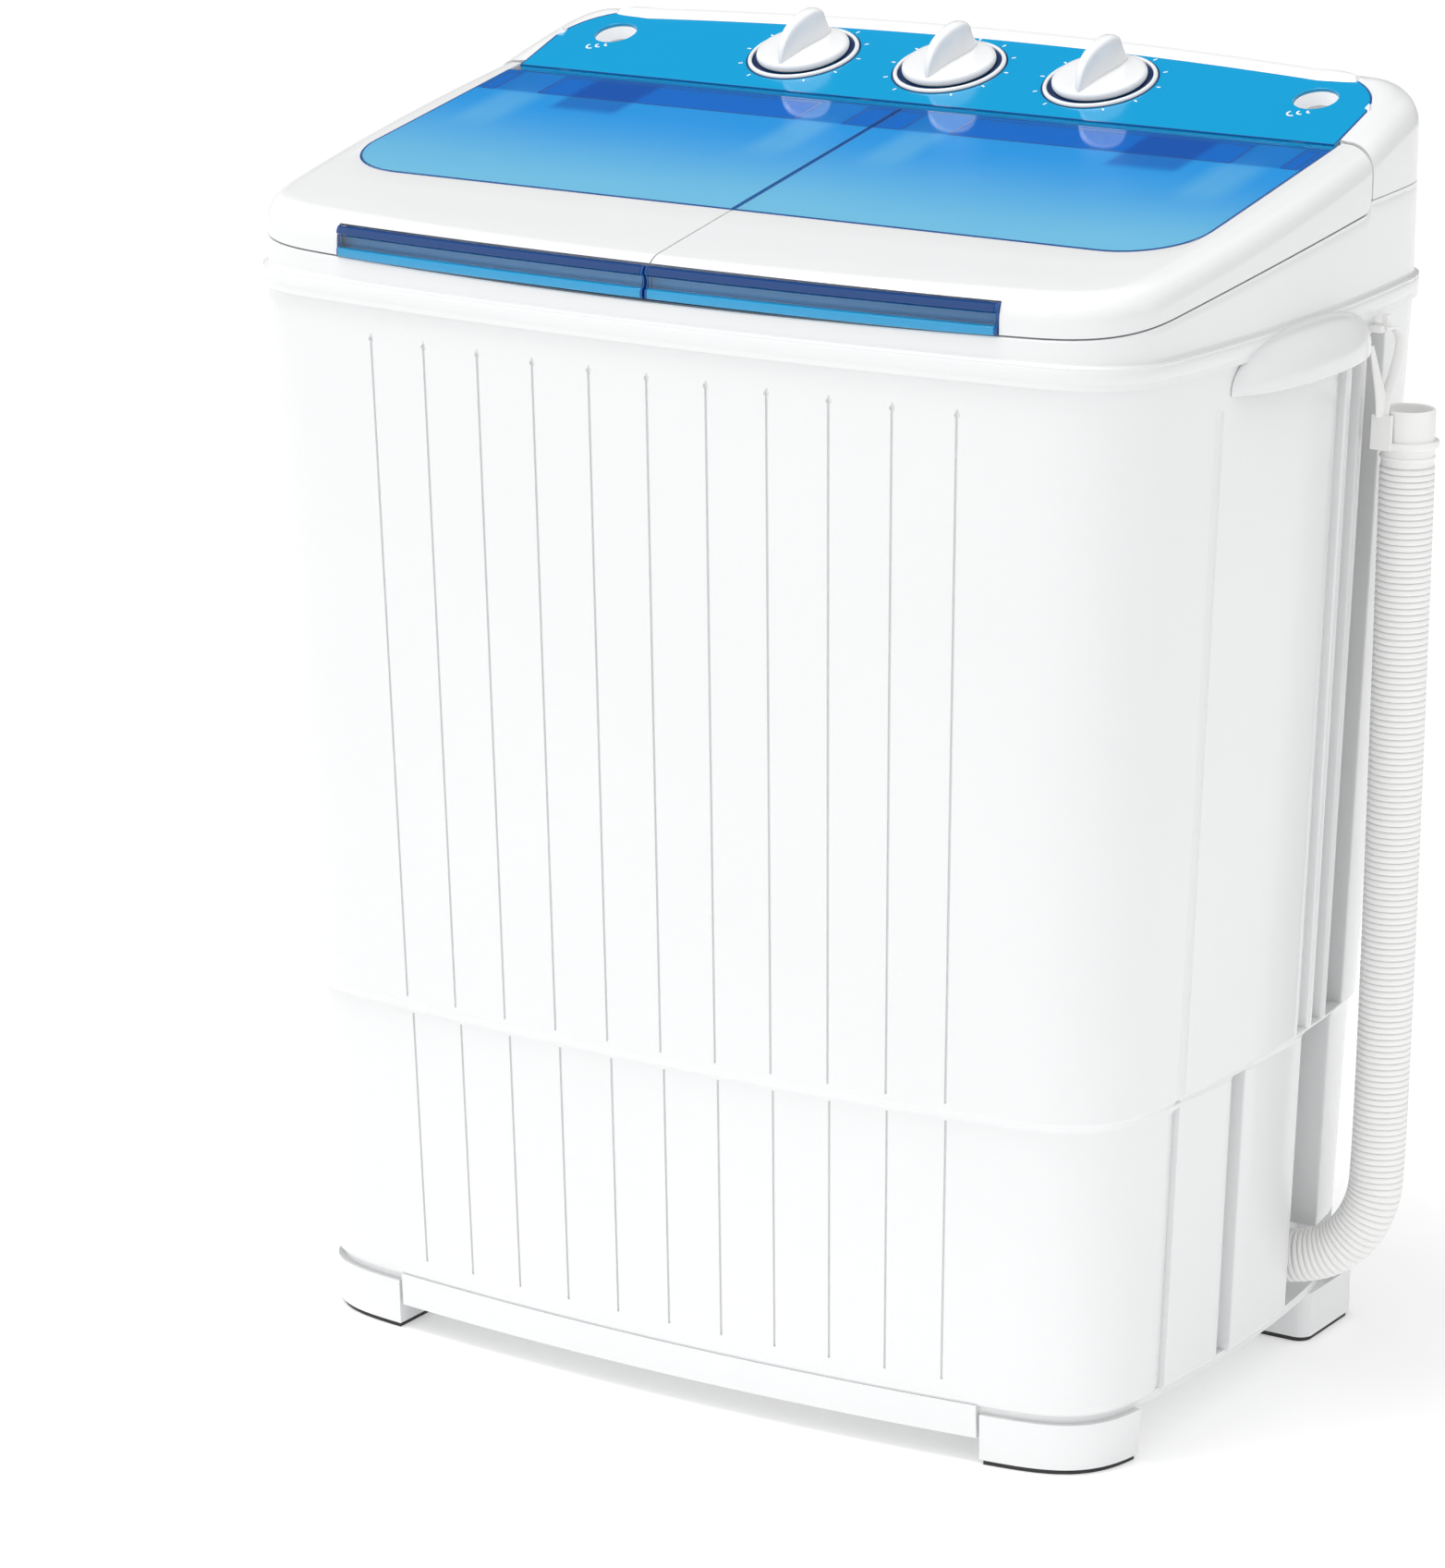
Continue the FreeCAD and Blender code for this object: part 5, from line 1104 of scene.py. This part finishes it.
# ---------------------------------------------------------------- grips
GRIP_HALF = 79.0
GRIP_LOW, GRIP_HIGH = 582.0, 611.0
GRIP_REACH = 17.5


def build_grips():
    """Hooded hand grips: an arched upper edge, a round back and a straight lower lip."""
    builder = Builder()
    for side in (-1, 1):
        rows = []
        for turn in spaced(-math.pi / 2, math.pi / 2, 41):
            y = GRIP_HALF * math.sin(turn)
            share = abs(y) / GRIP_HALF
            arch = math.sqrt(max(0.0, 1 - share ** 2.4))
            reach = GRIP_REACH * (1 - share ** 2.6) ** 0.75
            top = GRIP_LOW + 3 + (GRIP_HIGH - GRIP_LOW - 3) * arch
            row = []
            for angle in spaced(0, math.pi / 2, 13):
                z = lerp(GRIP_LOW + 2.5, top, math.cos(angle))
                wall = HALF_WIDTH + 0.4 - max(0.0, CABINET_TOP - z) * SIDE_DRAFT
                wall -= SIDE_BOW * (y / (HALF_DEPTH - CORNER)) ** 2
                row.append((side * (wall + reach * math.sin(angle)), y, z))
            x_out = row[-1][0]
            row += [(x_out, y, GRIP_LOW + 0.6), (x_out - side * min(0.8, reach), y, GRIP_LOW)]
            rows.append(row)
        builder.grid(rows, flip=side < 0)
    white_part(thicken(builder.make("side_grip_hoods"), SHELL), ["side_grips"], 45)


# ---------------------------------------------------------------- drain hose
def hose_centreline():
    """Points along the smooth NURBS line of the route, in metres."""
    curve = bpy.data.curves.new("hose_route", "CURVE")
    curve.dimensions = "3D"
    curve.resolution_u = 64
    spline = curve.splines.new("NURBS")
    spline.points.add(len(HOSE_ROUTE) - 1)
    for point, (x, y, z) in zip(spline.points, HOSE_ROUTE):
        point.co = (x * MM, y * MM, z * MM, 1)
    spline.order_u = 3
    spline.use_endpoint_u = True
    mesh = curve_mesh(curve)
    points = [vertex.co.copy() for vertex in mesh.vertices]
    bpy.data.meshes.remove(mesh)
    return points


def resample(points, step):
    """Evenly spaced points and directions along a polyline."""
    result = []
    travelled, wanted = 0.0, 0.0
    for a, b in zip(points, points[1:]):
        length = (b - a).length
        while length > 0 and wanted <= travelled + length:
            result.append((a.lerp(b, (wanted - travelled) / length), (b - a).normalized()))
            wanted += step
        travelled += length
    return result


def build_hose():
    """Corrugated hose: a tube whose radius swells once for every ring."""
    line = hose_centreline()
    pitch, per_ring, segments = 3.5, 8, 40
    crest, valley = HOSE_R + 0.15, HOSE_R - 1.5
    stations = resample(line, pitch * MM / per_ring)
    rows = []
    for index, (centre, along) in enumerate(stations):
        across = along.cross(Vector((0, 1, 0))).normalized()
        other = across.cross(along).normalized()
        swell = 1 - abs(2 * (index % per_ring) / per_ring - 1) ** 5
        near_end = min(index, len(stations) - 1 - index) < per_ring
        radius = HOSE_R - 0.6 if near_end else lerp(valley, crest, swell)
        rows.append([tuple(centre / MM + across * u + other * v) for u, v in circle(0, 0, radius, segments)])
    obj = grid_piece("corrugated_hose", rows, wrap_columns=True, cap_rows=True)
    return hose_part(obj, ["drain_hose"], 80), line


def build_cuff():
    """Smooth cuff at the hose's upper end, open at the top and plugged a little way down."""
    x, y, z = HOSE_ROUTE[-1]
    place = Matrix.Translation((x, y, 0))
    builder = Builder()
    sleeve = [(12.2, z - 1), (13.6, z - 1), (14.6, z - 0.6), (15.2, z + 0.3), (15.2, z + 1.2),
              (14.5, z + 1.8), (14.5, CUFF_TOP - 1.0), (14.2, CUFF_TOP - 0.3), (13.6, CUFF_TOP),
              (13.0, CUFF_TOP - 0.3), (12.6, CUFF_TOP - 1.2), (12.5, z + 6.5), (12.2, z + 5.5)]
    plug = [(0.01, z + 5.6), (12.4, z + 5.6), (12.4, z + 6.4), (0.01, z + 6.4)]
    builder.lathe(sleeve, 64, place)
    builder.lathe(plug, 64, place, closed=False)
    return hose_part(builder.make("hose_end_cuff"), ["hose_cuff"], 45)


def ribbon(builder, points, width_dir, half_widths, half_thick):
    """Flat strap along a smooth curve through the points; its half width runs between the two given."""
    line = []
    for index in range(len(points) - 1):
        p0 = Vector(points[max(index - 1, 0)])
        p1, p2 = Vector(points[index]), Vector(points[index + 1])
        p3 = Vector(points[min(index + 2, len(points) - 1)])
        for t in spaced(0, 1, 9)[:-1]:
            line.append(0.5 * (2 * p1 + (p2 - p0) * t + (2 * p0 - 5 * p1 + 4 * p2 - p3) * t * t
                               + (3 * p1 - p0 - 3 * p2 + p3) * t ** 3))
    line.append(Vector(points[-1]))
    section = ((-1, -0.5), (-0.8, -1), (0.8, -1), (1, -0.5), (1, 0.5), (0.8, 1), (-0.8, 1), (-1, 0.5))
    rows = []
    for index, point in enumerate(line):
        along = (line[min(index + 1, len(line) - 1)] - line[max(index - 1, 0)]).normalized()
        wide = (width_dir - along * width_dir.dot(along)).normalized()
        thick = along.cross(wide)
        half = lerp(*half_widths, index / (len(line) - 1))
        rows.append([tuple(point + wide * u * half + thick * v * half_thick) for u, v in section])
    builder.grid(rows, wrap_columns=True, cap_rows=True)


def build_hanger():
    """Ring under the cuff, held to a catch in the wall by two straps."""
    x, y, z = HOSE_ROUTE[-1]
    ring_z = z + 8
    builder = Builder()
    place = Matrix.Translation((x, y, ring_z))
    ring = [(14.6, -2.0), (16.4, -2.0), (17.0, -1.4), (17.0, 1.4), (16.4, 2.0), (14.6, 2.0)]
    builder.lathe(ring, 64, place)
    # Flat plate beside the cuff, the two parts of the catch in the wall, and the straps between them.
    plate_section = [(76.9, ring_z + 17), (74.6, ring_z + 17), (73.4, ring_z - 2), (76.3, ring_z - 2)]
    builder.prism_x(plate_section, 289, 301)
    catch_y, catch_z = 91, 590
    for y0, top, x0, x1 in ((81, 593.5, 279, 290), (86.5, 599, 287.5, 291)):
        builder.prism_x([(catch_y, top), (y0, top), (y0, catch_z), (catch_y, catch_z)], x0, x1)
    strap = [(290.0, 86.0, 592), (294.5, 90.0, 591), (297.0, 90.5, 583), (296.0, 85.0, 567),
             (295.0, 79.0, 556), (295.0, 75.7, 545)]
    ribbon(builder, strap, Vector((1, 0, 0)), (2.6, 3.4), 0.9)
    strap_back = [(285.5, 79.0, 583), (288.5, 78.0, 572), (293.0, 76.0, 558), (295.0, 75.4, 546)]
    ribbon(builder, strap_back, Vector((0.5, 0.9, 0)), (1.2, 4.4), 0.8)
    return hose_part(soften(builder.make("hose_strap"), 0.4, 2, 40), ["hose_hanger"], 45)


# ---------------------------------------------------------------- CAD nodes that stay, with finer materials
KEPT = {
    WHITE: ["deck", "base", "feet", "back_cover"],
    TUB_WHITE: ["wash_tub", "spin_tub", "spin_basket", "balance_ring", "spin_cover", "lint_filter",
                "pulsator", "inlet_funnels"],
    # Water spouts: partly painted shade under the lids' rear band.
    SPOUT_NAVY_AND_SHADE: ["water_spouts"],
    RUBBER: ["foot_pads", "wash_seal", "bellows_seal", "drive_belt", "valve_plug"],
    STEEL: ["hinge_pins", "shaft_wash_timer", "shaft_selector", "shaft_spin_timer", "pulsator_shaft",
            "wash_motor_shaft", "wash_motor_bracket", "spin_shaft", "brake_drum", "spin_motor_mount",
            "suspension_springs", "brake_lever", "brake_pivot", "back_screws", "small_pulley"],
    GREY: ["cord_gland", "clockwork_timers", "selector_switch", "bearing_housing", "big_pulley",
           "drain_valve", "drain_pipe"],
    MOTOR: ["wash_motor", "spin_motor"],
    CASE: ["capacitors"],
}
SOFT_EDGES = {"deck": 0.8, "base": 0.8, "feet": 2.0, "back_cover": 0.6, "cord_gland": 0.4, "back_screws": 0.5}


def finish_kept_nodes():
    """Materials and, on a few, soft edges for the CAD nodes that are seen as they are."""
    for material, names in KEPT.items():
        for name in names:
            obj = NODES[name]
            obj.data.materials.clear()
            obj.data.materials.append(material)
            if name in SOFT_EDGES:
                soften(obj, SOFT_EDGES[name], 3, 40)


# ---------------------------------------------------------------- camera, lights and floor
CAMERA_PLACE = (1607.1, -2689.2, 1181.4)
CAMERA_AZIMUTH = math.radians(32.017)
CAMERA_ELEVATION = math.radians(15.476)
CAMERA_ROLL = math.radians(0.273)
CAMERA_LENS = 132.57


def build_camera():
    data = bpy.data.cameras.new("camera")
    data.sensor_width = 36.0
    data.lens = CAMERA_LENS
    data.clip_start, data.clip_end = 0.1, 50.0
    camera = add_object("camera", data)
    turn = (Matrix.Rotation(CAMERA_AZIMUTH, 4, "Z") @ Matrix.Rotation(math.pi / 2 - CAMERA_ELEVATION, 4, "X")
            @ Matrix.Rotation(CAMERA_ROLL, 4, "Z"))
    camera.matrix_world = Matrix.Translation(Vector(CAMERA_PLACE) * MM) @ turn
    bpy.context.scene.camera = camera


def floor_material():
    """White paper sweep that stays white where nothing shades it."""
    material = plastic("floor_white", (0.88, 0.88, 0.88), 0.7, tint=0.005, bump=0.0)
    shader = material.node_tree.nodes["Principled BSDF"]
    shader.inputs["Emission Color"].default_value = (1, 1, 1, 1)
    shader.inputs["Emission Strength"].default_value = 0.27
    shader.inputs["Specular IOR Level"].default_value = 0.1
    return material


def area_light(name, place, target, size, power):
    data = bpy.data.lights.new(name, "AREA")
    data.shape = "RECTANGLE"
    data.size, data.size_y = size
    data.energy = power
    lamp = add_object(name, data)
    direction = Vector(target) - Vector(place)
    lamp.matrix_world = Matrix.Translation(place) @ direction.to_track_quat("-Z", "Y").to_matrix().to_4x4()


SOFT_LIGHT_FROM = (-0.32, -0.3, 0.9)
BLACK_FLAG_AT = (-0.4, 0.75, 0.62)      # keeps white glare off the blue lids and panel


def build_stage():
    """Studio: a soft sky with one dark flag, two area lamps and a white floor."""
    world = bpy.data.worlds.new("studio")
    world.use_nodes = True
    tree = world.node_tree
    coords = tree.nodes.new("ShaderNodeTexCoord")

    def facing(direction, low, high, dark, bright):
        """Brightness that depends on how far a direction of the sky lies towards the given one."""
        dot = tree.nodes.new("ShaderNodeVectorMath")
        dot.operation = "DOT_PRODUCT"
        dot.inputs[1].default_value = Vector(direction).normalized()
        tree.links.new(coords.outputs["Generated"], dot.inputs[0])
        return map_range(tree, dot.outputs["Value"], low, high, dark, bright, "SMOOTHSTEP")

    glow = multiply(tree, facing(SOFT_LIGHT_FROM, -1.0, 1.0, 0.32, 1.08),
                    facing(BLACK_FLAG_AT, 0.8, 0.95, 1.0, 0.1))
    tree.nodes["Background"].inputs["Color"].default_value = (1, 1, 1, 1)
    tree.links.new(glow, tree.nodes["Background"].inputs["Strength"])
    bpy.context.scene.world = world
    bpy.context.scene.view_settings.view_transform = "Standard"
    area_light("key", (-0.5, -0.7, 3.2), (0, 0, 0.6), (1.2, 1.2), 38)
    area_light("rim", (2.6, 0.3, 1.4), (0, 0, 0.4), (0.8, 1.6), 2)
    reach = 6000.0
    obj = grid_piece("floor", [[(x, y, 0) for x in (-reach, reach)] for y in (-reach, reach)])
    obj.data.materials.append(floor_material())


# ---------------------------------------------------------------- making
build_camera()
hose, hose_line = build_hose()
cuff = build_cuff()
hanger = build_hanger()
build_cabinet()
build_top_band()
build_seam_shade_strip()
for sign, label in ((-1, "left"), (1, "right")):
    build_lid_frame(sign, label)
    build_window(sign, label)
    build_handle(sign, label)
build_console()
build_panel()
for knob_x, name, label in zip(KNOB_XS, ("wash_timer", "selector", "spin_timer"), ("wash", "mode", "spin")):
    build_knob(knob_x, name + "_knob", "knob_" + name, label)
build_bezels()
build_prints()
build_grips()
finish_kept_nodes()
build_stage()
